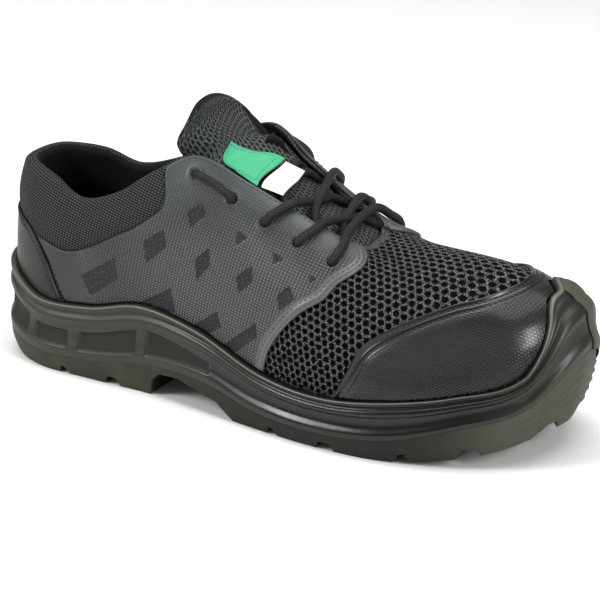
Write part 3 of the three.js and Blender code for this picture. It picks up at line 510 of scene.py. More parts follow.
# Woven collar fabric: black, with painted highlights in short pale dashes in close rows on the raised weave
def makeCollarFabric():
    material, add = newMaterial("wovenCollarFabric")
    flat, across, up = patternAxes(add, 1.7, 1.3, 6)
    rib = add("ShaderNodeMath", {0: across, 1: 0.5}, operation="PINGPONG")
    bar = add("ShaderNodeMath", {0: up, 1: 0.5}, operation="PINGPONG")
    rib = add("ShaderNodeMapRange", {0: rib, 1: 0.04, 2: 0.24}, interpolation_type="SMOOTHSTEP")
    bar = add("ShaderNodeMapRange", {0: bar, 1: 0.12, 2: 0.4}, interpolation_type="SMOOTHSTEP")
    weave = add("ShaderNodeMath", {0: rib, 1: bar}, operation="MULTIPLY")
    speck = add("ShaderNodeTexNoise", {"Vector": flat, "Scale": 2.6, "Detail": 3, "Roughness": 0.7})
    spread = add("ShaderNodeMapRange", {0: speck, 1: 0.3, 2: 0.7, 3: 0.25, 4: 1.3})
    # painted highlight on the raised dashes of the weave
    lit = add("ShaderNodeMath", {0: weave, 1: spread}, operation="MULTIPLY")
    color = add("ShaderNodeMix", {0: lit, 6: hexColor("#060607"), 7: hexColor("#565a5e")}, data_type="RGBA")
    height = add("ShaderNodeMath", {0: speck, 1: 0.35, 2: weave}, operation="MULTIPLY_ADD")
    dress(add, color, 0.8, height, 0.0004, {"Specular IOR Level": 0.25})
    return material


# Brushed lining: black tricot that swallows the light, with a faint rib whose crowns carry painted highlights
def makeLining():
    material, add = newMaterial("brushedLining")
    across = patternAxes(add, 1.1, 1.1)[1]
    rib = add("ShaderNodeMath", {0: across, 1: 0.5}, operation="PINGPONG")
    # painted highlight on the rib's crowns
    color = add("ShaderNodeMix", {0: rib, 6: hexColor("#08080a"), 7: hexColor("#1c1d1e")}, data_type="RGBA")
    dress(add, color, 0.9, rib, 0.0003, {"Specular IOR Level": 0.2})
    return material


# Thermoplastic film welded over the fabric: satin grey, with a small embossed grid that fades
# out towards the heel and round the lace row. The fabric shows through its windows.
def makeFilm():
    material, add = newMaterial("weldedFilm")
    place = add("ShaderNodeTexCoord").outputs["Object"]
    axes = add("ShaderNodeSeparateXYZ", {0: place})
    window = add("ShaderNodeAttribute", attribute_name="window").outputs["Fac"]
    window = add("ShaderNodeMapRange", {0: window, 1: -0.1, 2: 0.15}, interpolation_type="SMOOTHSTEP")
    emboss = add("ShaderNodeAttribute", attribute_name="emboss").outputs["Fac"]
    flat, across, up = patternAxes(add, 1.75, 1.4, 4)
    rib = add("ShaderNodeMath", {0: across, 1: 0.5}, operation="PINGPONG")
    bar = add("ShaderNodeMath", {0: up, 1: 0.5}, operation="PINGPONG")
    rib = add("ShaderNodeMapRange", {0: rib, 1: 0.03, 2: 0.25}, interpolation_type="SMOOTHSTEP")
    bar = add("ShaderNodeMapRange", {0: bar, 1: 0.03, 2: 0.3}, interpolation_type="SMOOTHSTEP")
    grid = add("ShaderNodeMath", {0: rib, 1: bar}, operation="MULTIPLY")
    ahead = add("ShaderNodeMapRange", {0: axes.outputs["X"], 1: -0.11, 2: -0.03},
                interpolation_type="SMOOTHSTEP")
    above = add("ShaderNodeMapRange", {0: axes.outputs["Z"], 1: 0.075, 2: 0.1},
                interpolation_type="SMOOTHSTEP")
    film = add("ShaderNodeMix", {0: ahead, 6: hexColor("#20201a"), 7: hexColor("#565856")}, data_type="RGBA")
    film = add("ShaderNodeMix", {0: above, 6: film, 7: hexColor("#353a3b")}, data_type="RGBA")
    # painted shade: the grooves of the embossed grid are painted darker
    groove = add("ShaderNodeMath", {0: 1, 1: grid}, operation="SUBTRACT")
    groove = add("ShaderNodeMath", {0: groove, 1: emboss}, operation="MULTIPLY")
    groove = add("ShaderNodeMath", {0: groove, 1: 0.9}, operation="MULTIPLY")
    film = add("ShaderNodeMix", {0: groove, 6: film, 7: hexColor("#0f1010")}, data_type="RGBA")
    # painted highlights: raised specks of the fabric seen in the windows are painted lighter
    speck = add("ShaderNodeTexNoise", {"Vector": flat, "Scale": 1.9, "Detail": 3, "Roughness": 0.75})
    bright = add("ShaderNodeMapRange", {0: speck, 1: 0.46, 2: 0.66}, interpolation_type="SMOOTHSTEP")
    cloth = add("ShaderNodeMix", {0: bright, 6: hexColor("#020203"), 7: hexColor("#3a3e44")},
                data_type="RGBA")
    color = add("ShaderNodeMix", {0: window, 6: film, 7: cloth}, data_type="RGBA")
    raised = add("ShaderNodeMath", {0: grid, 1: emboss}, operation="MULTIPLY")
    height = add("ShaderNodeMix", {0: window, 2: raised, 3: speck})
    cloud = add("ShaderNodeTexNoise", {"Vector": place, "Scale": 30, "Detail": 3})
    rough = add("ShaderNodeMapRange", {0: cloud, 1: 0.3, 2: 0.7, 3: 0.34, 4: 0.46})
    rough = add("ShaderNodeMath", {0: window, 1: 0.35, 2: rough}, operation="MULTIPLY_ADD")
    dress(add, color, rough, height, 0.0005)
    return material


# Coated leather of the toe cap: a small basket emboss under a polished finish
def makeCapLeather():
    material, add = newMaterial("embossedCapLeather")
    _, across, up = patternAxes(add, 1.8, 1.25, 40)
    row = add("ShaderNodeMath", {0: up}, operation="FLOOR")
    shifted = add("ShaderNodeMath", {0: row, 1: 0.5, 2: across}, operation="MULTIPLY_ADD")
    rib = add("ShaderNodeMath", {0: shifted, 1: 0.5}, operation="PINGPONG")
    bar = add("ShaderNodeMath", {0: up, 1: 0.5}, operation="PINGPONG")
    rib = add("ShaderNodeMapRange", {0: rib, 1: 0.02, 2: 0.22}, interpolation_type="SMOOTHSTEP")
    bar = add("ShaderNodeMapRange", {0: bar, 1: 0.04, 2: 0.3}, interpolation_type="SMOOTHSTEP")
    pebble = add("ShaderNodeMath", {0: rib, 1: bar}, operation="MULTIPLY")
    emboss = add("ShaderNodeAttribute", attribute_name="emboss").outputs["Fac"]
    height = add("ShaderNodeMath", {0: pebble, 1: emboss}, operation="MULTIPLY")
    place = add("ShaderNodeTexCoord").outputs["Object"]
    cloud = add("ShaderNodeTexNoise", {"Vector": place, "Scale": 25, "Detail": 2})
    # painted shade: the grooves between the raised pebbles are painted darker than the pebbles
    color = add("ShaderNodeMix", {0: height, 6: hexColor("#050606"), 7: hexColor("#131414")},
                data_type="RGBA")
    rough = add("ShaderNodeMapRange", {0: cloud, 1: 0.3, 2: 0.7, 3: 0.24, 4: 0.32})
    dress(add, color, rough, height, 0.0007, {"Coat Weight": 0.15, "Coat Roughness": 0.15})
    return material


# Smooth coated leather of the heel counter: closed grain, satin
def makeCounterLeather():
    material, add = newMaterial("smoothCounterLeather")
    place = add("ShaderNodeTexCoord").outputs["Object"]
    grain = add("ShaderNodeTexVoronoi", {"Vector": place, "Scale": 900})
    cloud = add("ShaderNodeTexNoise", {"Vector": place, "Scale": 40, "Detail": 3})
    patch = add("ShaderNodeMapRange", {0: cloud, 1: 0.3, 2: 0.7})
    color = add("ShaderNodeMix", {0: patch, 6: hexColor("#121210"), 7: hexColor("#1b1b19")}, data_type="RGBA")
    rough = add("ShaderNodeMapRange", {0: cloud, 1: 0.3, 2: 0.7, 3: 0.36, 4: 0.5})
    dress(add, color, rough, grain, 0.00008, {"Specular IOR Level": 0.35})
    return material


# Thick spacer knit of the tongue: staggered rows of short lens-shaped openings
def makeTongueKnit():
    material, add = newMaterial("tongueSpacerKnit")
    flat, across, up = patternAxes(add, 3.1, 2.1, 12)
    row = add("ShaderNodeMath", {0: up}, operation="FLOOR")
    shifted = add("ShaderNodeMath", {0: row, 1: 0.5, 2: across}, operation="MULTIPLY_ADD")
    wide = add("ShaderNodeMath", {0: shifted, 1: 0.5}, operation="PINGPONG")
    tall = add("ShaderNodeMath", {0: up, 1: 0.5}, operation="PINGPONG")
    wide = add("ShaderNodeMapRange", {0: wide, 1: 0.02, 2: 0.3}, interpolation_type="SMOOTHSTEP")
    tall = add("ShaderNodeMapRange", {0: tall, 1: 0.14, 2: 0.38}, interpolation_type="SMOOTHSTEP")
    lens = add("ShaderNodeMath", {0: wide, 1: tall}, operation="MULTIPLY")
    border = add("ShaderNodeAttribute", attribute_name="border").outputs["Fac"]
    inside = add("ShaderNodeMath", {0: 1, 1: border}, operation="SUBTRACT")
    lens = add("ShaderNodeMath", {0: lens, 1: inside}, operation="MULTIPLY")
    speck = add("ShaderNodeTexNoise", {"Vector": flat, "Scale": 5.0, "Detail": 3, "Roughness": 0.75})
    # painted highlights: raised specks of the yarn are painted lighter
    bright = add("ShaderNodeMapRange", {0: speck, 1: 0.4, 2: 0.68}, interpolation_type="SMOOTHSTEP")
    yarn = add("ShaderNodeMix", {0: bright, 6: hexColor("#1d1f1f"), 7: hexColor("#888e8d")}, data_type="RGBA")
    yarn = add("ShaderNodeMix", {0: border, 6: yarn, 7: hexColor("#101112")}, data_type="RGBA")
    # the openings painted near black: partly the dark layer below, partly painted shade
    color = add("ShaderNodeMix", {0: lens, 6: yarn, 7: hexColor("#030303")}, data_type="RGBA")
    height = add("ShaderNodeMath", {0: lens, 1: -1, 2: speck}, operation="MULTIPLY_ADD")
    dress(add, color, 0.8, height, 0.0007, {"Specular IOR Level": 0.25})
    return material


# Round braided polyester cord: strands that cross over each other, with a dull shine
def makeCord():
    material, add = newMaterial("braidedPolyesterCord")
    _, around, run = patternAxes(add, 1, 1)
    one = add("ShaderNodeMath", {0: around, 1: run}, operation="ADD")
    other = add("ShaderNodeMath", {0: around, 1: run}, operation="SUBTRACT")
    one = add("ShaderNodeMath", {0: one, 1: 0.5}, operation="PINGPONG")
    other = add("ShaderNodeMath", {0: other, 1: 0.5}, operation="PINGPONG")
    rise = add("ShaderNodeMath", {0: one, 1: other}, operation="MULTIPLY")
    # painted highlights on the crowns of the strands, painted shade where they dip under each other
    bright = add("ShaderNodeMapRange", {0: rise, 1: 0.03, 2: 0.2}, interpolation_type="SMOOTHSTEP")
    color = add("ShaderNodeMix", {0: bright, 6: hexColor("#040404"), 7: hexColor("#2e2e2a")},
                data_type="RGBA")
    height = add("ShaderNodeMath", {0: rise, 1: 4}, operation="MULTIPLY")
    dress(add, color, 0.5, height, 0.0004, {"Specular IOR Level": 0.35})
    return material


# Bonded nylon or polyester sewing thread: twisted, with a dull shine
def makeThread(name, color):
    material, add = newMaterial(name)
    place = add("ShaderNodeTexCoord").outputs["Object"]
    twist = add("ShaderNodeTexNoise", {"Vector": place, "Scale": 3000, "Detail": 2})
    dress(add, hexColor(color), 0.5, twist, 0.0001)
    return material


# Woven satin tag: fine plain weave, dyed through
def makeTag(name, light, dark):
    material, add = newMaterial(name)
    _, across, up = patternAxes(add, 0.45, 0.45)
    rib = add("ShaderNodeMath", {0: across, 1: 0.5}, operation="PINGPONG")
    bar = add("ShaderNodeMath", {0: up, 1: 0.5}, operation="PINGPONG")
    weave = add("ShaderNodeMath", {0: rib, 1: bar}, operation="ADD")
    # painted highlight on the weave's raised threads, painted shade in its dips
    color = add("ShaderNodeMix", {0: weave, 6: hexColor(dark), 7: hexColor(light)}, data_type="RGBA")
    dress(add, color, 0.6, weave, 0.0001)
    return material


# The net of the vamp: round holes in staggered rows
net = {"pitch": 3.7, "rowPitch": 3.2, "holeHalf": 1.3, "depth": 1.1, "turn": 8}


def netHole(flat):
    angle = math.radians(net["turn"])
    x = flat[..., 0] * math.cos(angle) - flat[..., 1] * math.sin(angle)
    y = flat[..., 0] * math.sin(angle) + flat[..., 1] * math.cos(angle)
    row = np.floor(y / net["rowPitch"])
    x = x / net["pitch"] + np.mod(row, 2) / 2
    x = (x - np.floor(x) - 0.5) * net["pitch"]
    y = y - (row + 0.5) * net["rowPitch"]
    return 1 - smooth(net["holeHalf"] * 0.65, net["holeHalf"] * 1.2, np.hypot(x, y))


polyurethane, rubber = makePolyurethane(), makeRubber()
airMesh, collarFabric, lining = makeAirMesh(), makeCollarFabric(), makeLining()
film, capLeather, counterLeather = makeFilm(), makeCapLeather(), makeCounterLeather()
tongueKnit, cord = makeTongueKnit(), makeCord()
# black thread painted dark grey: its own black lifted by a painted highlight that stands for its glints
darkThread = makeThread("bondedBlackThread", "#3b3b38")
greenThread = makeThread("polyesterGreenThread", "#1d5c44")
whiteThread = makeThread("polyesterWhiteThread", "#cfcdc4")
greenTag = makeTag("wovenGreenTag", "#49be8b", "#2a9468")
whiteTag = makeTag("wovenWhiteTag", "#ffffff", "#e9e6dc")
print("materials made")

# Sole: the midsole's side steps in and out on its way from the tread to the lip
sole = {
    "step": 0.95, "rows": 62, "lip": 3.2, "lean": 2, "treadInset": 3, "toeTuck": 6, "treadCore": 6.5,
    "treadEdge": 3.2, "coreTuck": 3, "recessDepth": 1.6, "lugDepth": 4, "archHeight": 13.5,
    "sideSteps": ((0, 0), (0.15, 0.4), (0.34, -1), (0.56, -1), (0.7, 0.5), (0.78, 0.4), (0.85, -0.6),
                  (0.93, 0.6), (1, 0)),
    # from u, to u, low and high at from, low and high at to
    "recesses": ((0.02, 0.038, 0.2, 0.62, 0.2, 0.6), (0.046, 0.078, 0.18, 0.62, 0.16, 0.58),
                 (0.086, 0.118, 0.16, 0.52, 0.16, 0.5), (0.126, 0.172, 0.14, 0.5, 0.14, 0.58),
                 (0.18, 0.232, 0.14, 0.6, 0.2, 0.42)),
    "grooveColumns": ((-0.341, 0.01), (-0.248, 0.02), (0.066, 0.01), (0.162, 0.023), (0.285, 0.013),
                      (0.376, 0.023), (0.454, 0.013)),
    "grooveRuns": ((-0.437, -0.199), (0.013, 0.424)),
    "archOutline": ((-0.179, -0.37), (-0.169, 0.59), (-0.152, 0.93), (-0.113, 1), (-0.066, 0.7),
                    (-0.036, 0.56), (-0.013, 0.04), (-0.007, -0.37)),
    "ribHeight": 0.9, "ribLevels": (0.22, 0.36, 0.5, 0.64, 0.78), "ribWidth": 0.06, "ribEnds": (0.446, 0.494),
    "stripEnds": (0.501, 0.532),
}
perimeter = 2 * np.linalg.norm(np.diff(outline(np.linspace(0, 0.5, 200)), axis=0), axis=1).sum()


def groundAt(x):
    toe = np.maximum(0, x - last["toeSpringStart"]) / (length / 2 - last["toeSpringStart"])
    heel = np.maximum(0, last["heelBevelStart"] - x) / (length / 2 + last["heelBevelStart"])
    return last["toeSpring"] * toe ** 2 + last["heelBevel"] * heel ** 2


def sideOf(u, t, offset=0.0):
    u, t = np.broadcast_arrays(np.asarray(u, float), np.asarray(t, float))
    height = mix(along("parting", u), soleTopAt(u), t)
    lip = wall(u, levelAt(u, height), last["clearance"] + sole["lip"])
    edge = outline(u)
    lean = (np.maximum(t, 0) ** sole["lean"])[..., None]
    out = (outline(u) - outline(u, 1)) * (through(sole["sideSteps"], t) + offset)[..., None]
    rise = offset * smooth(0.5, 1, t) * smooth(last["toeSpringStart"], length / 2, edge[..., 0])
    flat = mix(edge, lip[..., :2], lean) + out
    return np.concatenate([flat, (mix(height, lip[..., 2], lean[..., 0]) + rise)[..., None]], -1)


def toeShare(u):
    return smooth(0.42, 0.49, u) * (1 - smooth(0.51, 0.58, u))


def coreLevel(u):
    x = along("x", u)
    core = np.maximum(0, last["ballWidth"] * 0.25 - x) * 0.3
    return np.minimum(along("parting", u) - 0.5, groundAt(x) + sole["treadCore"] + core)


spineEnds = (2 / loopCount, 9 / loopCount)


def folded(u):
    return np.clip(outerShare(u), *spineEnds)


def flatRing(u, inset, height):
    return np.concatenate([outline(u, inset), np.asarray(height)[..., None]], -1)


def spineRing(u, height):
    return np.stack([along("x", folded(u)), np.zeros(u.shape), height], -1)


def cupRing(u, reach, lift):
    edge = outline(u, last["footInset"])
    floor = mix(along("floor", folded(u)), along("floor", u), reach)
    return np.stack([mix(along("x", folded(u)), edge[:, 0], reach), edge[:, 1] * reach, floor + lift], -1)


# How far a place on the side lies inside a sunk panel, in millimetres
def insideRecess(u, t, panel):
    start, end, lowStart, highStart, lowEnd, highEnd = panel
    share = np.clip((u - start) / (end - start), 0, 1)
    tall = soleTopAt(u) - along("parting", u)
    low, high = mix(lowStart, lowEnd, share), mix(highStart, highEnd, share)
    run = np.minimum(u - start, end - u) * perimeter
    rise = np.minimum(t - low, high - t) * tall
    return np.minimum(run, rise)


def makeMidsole():
    u = evenly(0, 1, sole["step"], outline)[:-1]
    t = np.linspace(0, 1, sole["rows"])
    uu, tt = np.meshgrid(u, t, indexing="ij")
    share = outerShare(uu)
    sunk, stipple = np.zeros(uu.shape), np.zeros(uu.shape)
    for panel in sole["recesses"]:
        depth = insideRecess(share, tt, panel)
        sunk = np.maximum(sunk, smooth(-0.2, 1.3, depth))
        stipple = np.maximum(stipple, smooth(0.3, 1.2, depth))
    bead = 0.7 * np.exp(-((tt - 0.98) / 0.014) ** 2)
    side = sideOf(uu, tt, bead - sole["recessDepth"] * sunk)
    gap = last["clearance"]
    level = lipLevel(u)
    rings = [
        spineRing(u, coreLevel(folded(u))),
        flatRing(u, sole["treadEdge"] * 4 + sole["coreTuck"] * toeShare(u), coreLevel(u)),
        flatRing(u, sole["treadEdge"] + gap + sole["coreTuck"] * toeShare(u), coreLevel(u)),
        flatRing(u, sole["treadEdge"] + gap, along("parting", u) - gap),
    ]
    inside = [wall(u, level * k / 6, gap) for k in range(6, -1, -1)]
    cup = [cupRing(u, 0.94, -gap), cupRing(u, 0.5, -gap), cupRing(u, 0, -gap)]
    stack = np.concatenate([np.stack(rings, 1), side, np.stack(inside, 1), np.stack(cup, 1)], 1)
    before, after = len(rings), len(inside) + len(cup)
    stipple = np.pad(stipple, ((0, 0), (before, after)))
    # mask of the painted highlight along the lip bead
    lip = np.pad(np.exp(-((tt - 0.985) / 0.01) ** 2), ((0, 0), (before, after)))
    index = np.arange(stack.shape[0] * stack.shape[1]).reshape(stack.shape[:2])
    piece = addPiece("midsole_moulded", stack, quads(index, wrapU=True), [polyurethane],
                     floats={"stipple": stipple, "lip": lip}, weld=True)
    stand(piece, "midsole", "midsole")


# How far each place of the tread's underside is cut up from the ground
def treadCut(x, y):
    depth = np.zeros(x.shape)
    for share, width in sole["grooveColumns"]:
        half = width * length / 2
        depth = np.maximum(depth, sole["lugDepth"] * smooth(half + 1, half - 0.2, np.abs(x - share * length)))
    for start, end in sole["grooveRuns"]:
        within = smooth(start * length - 0.5, start * length + 1, x)
        within = within * smooth(end * length + 0.5, end * length - 1, x)
        half = sole["lugDepth"] / 2
        groove = sole["lugDepth"] / 2 * smooth(half + 0.6, half - 0.6, np.abs(y)) * within
        depth = np.maximum(depth, groove)
    outlineX = [point[0] * length for point in sole["archOutline"]]
    outlineZ = [point[1] * sole["archHeight"] for point in sole["archOutline"]]
    arch = np.interp(x, outlineX, outlineZ, left=-9, right=-9)
    return np.maximum(groundAt(x) + depth, arch)


def makeOutsole():
    u = evenly(0, 1, sole["step"], outline)[:-1]
    tuck = toeShare(u)
    foot = outline(u, sole["treadInset"] + sole["toeTuck"] * tuck)
    reach = np.concatenate([np.linspace(0, 0.94, 34), [0.97, 0.99, 1]])
    bottom = []
    for r in reach:
        x = mix(along("x", folded(u)), foot[:, 0], r)
        y = foot[:, 1] * r
        bottom.append(np.stack([x, y, treadCut(x, y)], -1))
    bottom = np.stack(bottom, 1)
    ground, parting = groundAt(foot[:, 0]), along("parting", u)
    base = bottom[:, -1, 2]
    side = []
    for t in np.linspace(0, 1, 26)[1:]:
        z = mix(base, parting, t)
        share = np.clip((z - ground) / (parting - ground), 0, 1)
        rib = np.zeros(u.shape)
        for level in sole["ribLevels"]:
            rib = np.maximum(rib, np.exp(-((share - level - sole["ribWidth"] / 2) / 0.036) ** 2))
        low, high = sole["ribEnds"]
        place = outerShare(u)
        rib = rib * smooth(low - 0.004, low + 0.006, place) * smooth(high + 0.003, high - 0.004, place)
        inset = (sole["treadInset"] + sole["toeTuck"] * tuck) * (1 - share) ** 2 - sole["ribHeight"] * rib
        flat = outline(u, 0) - (outline(u, 0) - outline(u, 1)) * inset[:, None]
        side.append(np.concatenate([flat, z[:, None]], -1))
    side = np.stack(side, 1)
    gap = last["clearance"]
    core = sole["treadEdge"] + sole["coreTuck"] * tuck
    top = np.stack([
        flatRing(u, sole["treadEdge"], parting - gap * 2),
        flatRing(u, core, coreLevel(u)),
        flatRing(u, core + sole["treadEdge"] * 3, coreLevel(u) - gap),
        spineRing(u, coreLevel(folded(u)) - gap),
    ], 1)
    stack = np.concatenate([bottom, side, top], 1)
    # depth of each cut, which sets the painted shade in the cuts' bottoms
    deep = np.zeros(stack.shape[:2])
    deep[:, :len(reach)] = smooth(0.6, 3.2, bottom[..., 2] - groundAt(bottom[..., 0]))
    index = np.arange(stack.shape[0] * stack.shape[1]).reshape(stack.shape[:2])
    piece = addPiece("outsole_tread", stack, quads(index, wrapU=True), [rubber],
                     floats={"deep": deep}, weld=True)
    stand(piece, "outsole", "outsole")


# The tread's strip that climbs the middle of the toe
def makeToeStrip():
    low, high = sole["stripEnds"]
    u = evenly(low, high, 0.6, lambda t: sideOf(t, 0.7), (0.15, 0.35))
    t = np.linspace(-0.04, 0.985, 70)
    uu, tt = np.meshgrid(u, t, indexing="ij")
    edge = np.minimum(uu - low, high - uu) * perimeter
    edge = np.minimum(edge, (0.985 - tt) * 22)
    proud = last["clearance"] * 1.5 + sole["ribHeight"] * smooth(-0.1, 0.9, edge)
    top = sideOf(uu, tt, proud)
    ub, tb = np.meshgrid(u, t[::10], indexing="ij")
    back = sideOf(ub, tb, last["clearance"] * 1.5)
    piece = shell("outsole_toe_strip", top, back, [rubber], floats={"deep": np.zeros(uu.shape)})
    stand(piece, "outsole")


makeMidsole()
makeOutsole()
makeToeStrip()


insole = {"step": 2.5, "gap": 1, "thick": 4, "wallShare": 0.75, "bevel": 0.8}


def makeInsole():
    u = evenly(0, 1, insole["step"], outline)[:-1]
    inset = last["footInset"] + last["upperWall"] + insole["gap"]
    floor, gap, thick = along("floor", u), last["clearance"], insole["thick"]
    rings = [
        spineRing(u, along("floor", folded(u)) + gap),
        flatRing(u, inset, floor + gap),
        flatRing(u, inset, floor + gap + thick * insole["wallShare"]),
        flatRing(u, inset + insole["bevel"], floor + gap + thick),
        cupRing(u, 0.6, gap + thick),
        spineRing(u, along("floor", folded(u)) + gap + thick),
    ]
    stack = np.stack(rings, 1)
    index = np.arange(stack.shape[0] * stack.shape[1]).reshape(stack.shape[:2])
    piece = addPiece("insole_foam", stack, quads(index, wrapU=True), [lining], uv=stack[..., :2], weld=True)
    stand(piece, "insole", "insole")


makeInsole()

# Upper: seams as (u, v) down the outer side, the same on the inner side
capSeam = ((0.328, 0.17), (0.336, 0.26), (0.346, 0.35), (0.356, 0.43), (0.37, 0.5), (0.392, 0.57),
           (0.416, 0.61), (0.438, 0.61), (0.456, 0.59), (0.484, 0.58), (0.5, 0.58))
counterSeam = ((0, 0.78), (0.03, 0.77), (0.064, 0.73), (0.08, 0.68), (0.096, 0.58), (0.104, 0.46),
               (0.114, 0.25))
bandSeam = ((0.08, 0.69), (0.11, 0.68), (0.122, 0.7), (0.142, 0.76), (0.17, 0.82), (0.208, 0.85),
            (0.226, 0.87), (0.233, 0.91), (0.2375, 0.97), (0.242, 1))
frontSeam = ((0.274, 0.14), (0.276, 0.21), (0.284, 0.31), (0.3, 0.42), (0.32, 0.52), (0.344, 0.61),
             (0.362, 0.7), (0.39, 0.8), (0.41, 0.87), (0.43, 0.95), (0.437, 0.985))
seamGap = 0.004
eyelets = ((0.277, 0.266, 0.93), (0.311, 0.294, 0.87), (0.339, 0.318, 0.84), (0.366, 0.342, 0.82),
           (0.4, 0.368, 0.8))
# Where each strand crosses its own edge of the throat and where it ends under the other edge
crossings = {"outer": ((0, 0), (0.33, 0.33), (0.354, 0.36), (0.385, 0.398), (0.411, 0.395)),
             "inner": ((0, 0), (0.313, 0.343), (0.34, 0.373), (0.371, 0.404), (0.395, 0.411))}
upper = {"vampStep": 0.72, "restStep": 1.7, "rows": 100, "crown": 1.4, "vampFrom": 0.268, "collarTo": 0.243}


def aheadOfSeam(u, v):
    seam = np.array(frontSeam)
    return (outerShare(u) - np.interp(v, seam[:, 1], seam[:, 0])) * perimeter


def makeUpper():
    def middle(t):
        return skin(t, 0.62)

    front = upper["vampFrom"]
    u = np.concatenate([evenly(0, front, upper["restStep"], middle)[:-1],
                        evenly(front, 1 - front, upper["vampStep"], middle)[:-1],
                        evenly(1 - front, 1, upper["restStep"], middle)[:-1]])
    lip = lipLevel(u)
    share = evenly(0, 1, 1, lambda t: skin(0.4, mix(lipLevel(np.array(0.4)), 1, t)))
    share = np.interp(np.linspace(0, 1, upper["rows"]), np.linspace(0, 1, len(share)), share)
    uu, ss = np.meshgrid(u, share, indexing="ij")
    vv = mix(lip[:, None], 1, ss)
    flat = fabric(uu, vv)
    vamp = smooth(-3, -1, aheadOfSeam(uu, vv)) * smooth(0.985, 0.965, vv)
    hole = netHole(flat) * vamp
    band = through(bandSeam, outerShare(uu))
    seam = np.maximum(np.where(outerShare(uu) < 0.08, through(counterSeam, outerShare(uu)), band), 0)
    onCollar = (outerShare(uu) < upper["collarTo"]) & (vv > seam - 0.01)
    rising = np.clip((vv - seam) / np.maximum(1 - seam, 0.05), 0, 1)
    crown = np.where(onCollar, upper["crown"] * np.sin(math.pi * rising ** 0.8), 0)
    skinRows = wall(uu, vv, crown - net["depth"] * hole)
    rolls, turns = [], np.linspace(0, 1, 9)[1:-1]
    edge, inner = skin(u, 1), wall(u, 1, -thickness(u, 1))
    up = unit(skin(u, 1) - skin(u, 1 - small * 4))
    for turn in turns:
        radius = np.linalg.norm(edge - inner, axis=1, keepdims=True) / 2
        rolls.append((edge + inner) / 2 + (edge - inner) / 2 * math.cos(turn * math.pi)
                     + up * radius * 0.8 * math.sin(turn * math.pi))
    levels = np.linspace(1, 0, 26)
    liningRows = [wall(u, mix(lip, 1, k), -thickness(u, mix(lip, 1, k))) for k in levels]
    low = [wall(u, lip * k, -thickness(u, lip * k)) for k in (0.66, 0.33, 0)]
    cup = [wall(u, lip * k) for k in (0, 0.33, 0.66)]
    stack = np.concatenate([np.stack(cup, 1), skinRows, np.stack(rolls + liningRows + low, 1)], 1)
    count = stack.shape[1]
    start, end = len(cup), len(cup) + len(share)
    holes = np.zeros(stack.shape[:2])
    holes[:, start:end] = hole
    uv = np.zeros(stack.shape[:2] + (2,))
    uv[:, :start] = fabric(u, lip)[:, None]
    uv[:, start:end] = flat
    top = fabric(u, np.ones(u.shape))
    grow = unit(top - fabric(u, np.full(u.shape, 0.97)))
    run = np.cumsum(np.linalg.norm(np.diff(stack[:, end - 1:], axis=1), axis=2), axis=1)
    uv[:, end:] = top[:, None] + grow[:, None] * run[..., None]
    # Faces: 0 lining, 1 net of the vamp, 2 fabric of the collar
    slots = np.zeros((len(u), count - 1), int)
    slots[:, start - 1:end] = 2
    ahead = aheadOfSeam(uu, vv) > -4
    slots[:, start:end][ahead] = 1
    slots[:, end:end + 4] = slots[:, end - 1:end]
    index = np.arange(stack.shape[0] * count).reshape(stack.shape[:2])
    faces = quads(index, wrapU=True, wrapV=True)
    slots = np.concatenate([slots, np.zeros((len(u), 1), int)], 1)
    piece = addPiece("upper_shell", stack, faces, [lining, airMesh, collarFabric], slots=slots,
                     floats={"hole": holes}, uv=uv)
    stand(piece, "upper", "upper")


makeUpper()

# Film quarters: the welded layer from the heel counter to the lace row
quarter = {"step": 0.8, "rows": 92, "wall": 0.9, "ends": (0.082, 0.436), "band": 4.2, "bandRise": 0.45,
           "stitchRows": (1.3, 3.6), "windowDepth": 0.45}
# Windows in the film: corners as (u, v)
windows = (
    ((0.264, 0.83), (0.264, 0.79), (0.246, 0.76), (0.248, 0.82)),
    ((0.222, 0.79), (0.220, 0.72), (0.196, 0.67), (0.200, 0.77)),
    ((0.168, 0.71), (0.166, 0.59), (0.138, 0.44), (0.132, 0.57)),
    ((0.258, 0.68), (0.254, 0.62), (0.238, 0.57), (0.242, 0.65)),
    ((0.288, 0.75), (0.296, 0.74), (0.282, 0.69)),
    ((0.316, 0.73), (0.324, 0.72), (0.312, 0.68)),
    ((0.292, 0.64), (0.288, 0.58), (0.272, 0.52), (0.274, 0.58)),
    ((0.320, 0.62), (0.320, 0.57), (0.304, 0.50), (0.306, 0.56)),
    ((0.212, 0.54), (0.210, 0.41), (0.174, 0.40), (0.174, 0.43)),
    ((0.248, 0.44), (0.248, 0.37), (0.232, 0.31), (0.222, 0.35)),
    ((0.280, 0.42), (0.278, 0.36), (0.252, 0.24), (0.244, 0.27)),
    ((0.342, 0.70), (0.346, 0.69), (0.338, 0.66)),
)


def quarterLow(u):
    share = outerShare(u)
    aboveLip = levelAt(u, soleTopAt(u) + 0.5)
    front = np.where(share < frontSeam[0][0], 0, through(frontSeam, share))
    low = np.where(share < counterSeam[-1][0] + seamGap, through(counterSeam, share - seamGap), front)
    return np.maximum(low, aboveLip)


# A grid over an overlay from its low edge to its high one, finer beside both edges,
# with each row's share of the way up
def overlayGrid(u, low, high, rows, fine):
    steps = np.concatenate([np.linspace(0, 1, rows), fine, 1 - np.array(fine)])
    uu, ss = np.meshgrid(u, np.unique(steps), indexing="ij")
    return uu, ss, mix(low[:, None], high[:, None], ss)


def overlayBack(u, low, high, rows, offset=0.0):
    ub, sb = np.meshgrid(u, np.linspace(0, 1, rows), indexing="ij")
    return wall(ub, mix(low[:, None], high[:, None], sb), offset)


# Grooves that the stitch rows lie in
def stitchGrooves(seam, rows, deep, half):
    return sum(deep * np.exp(-((seam - row) / half) ** 2) for row in rows)


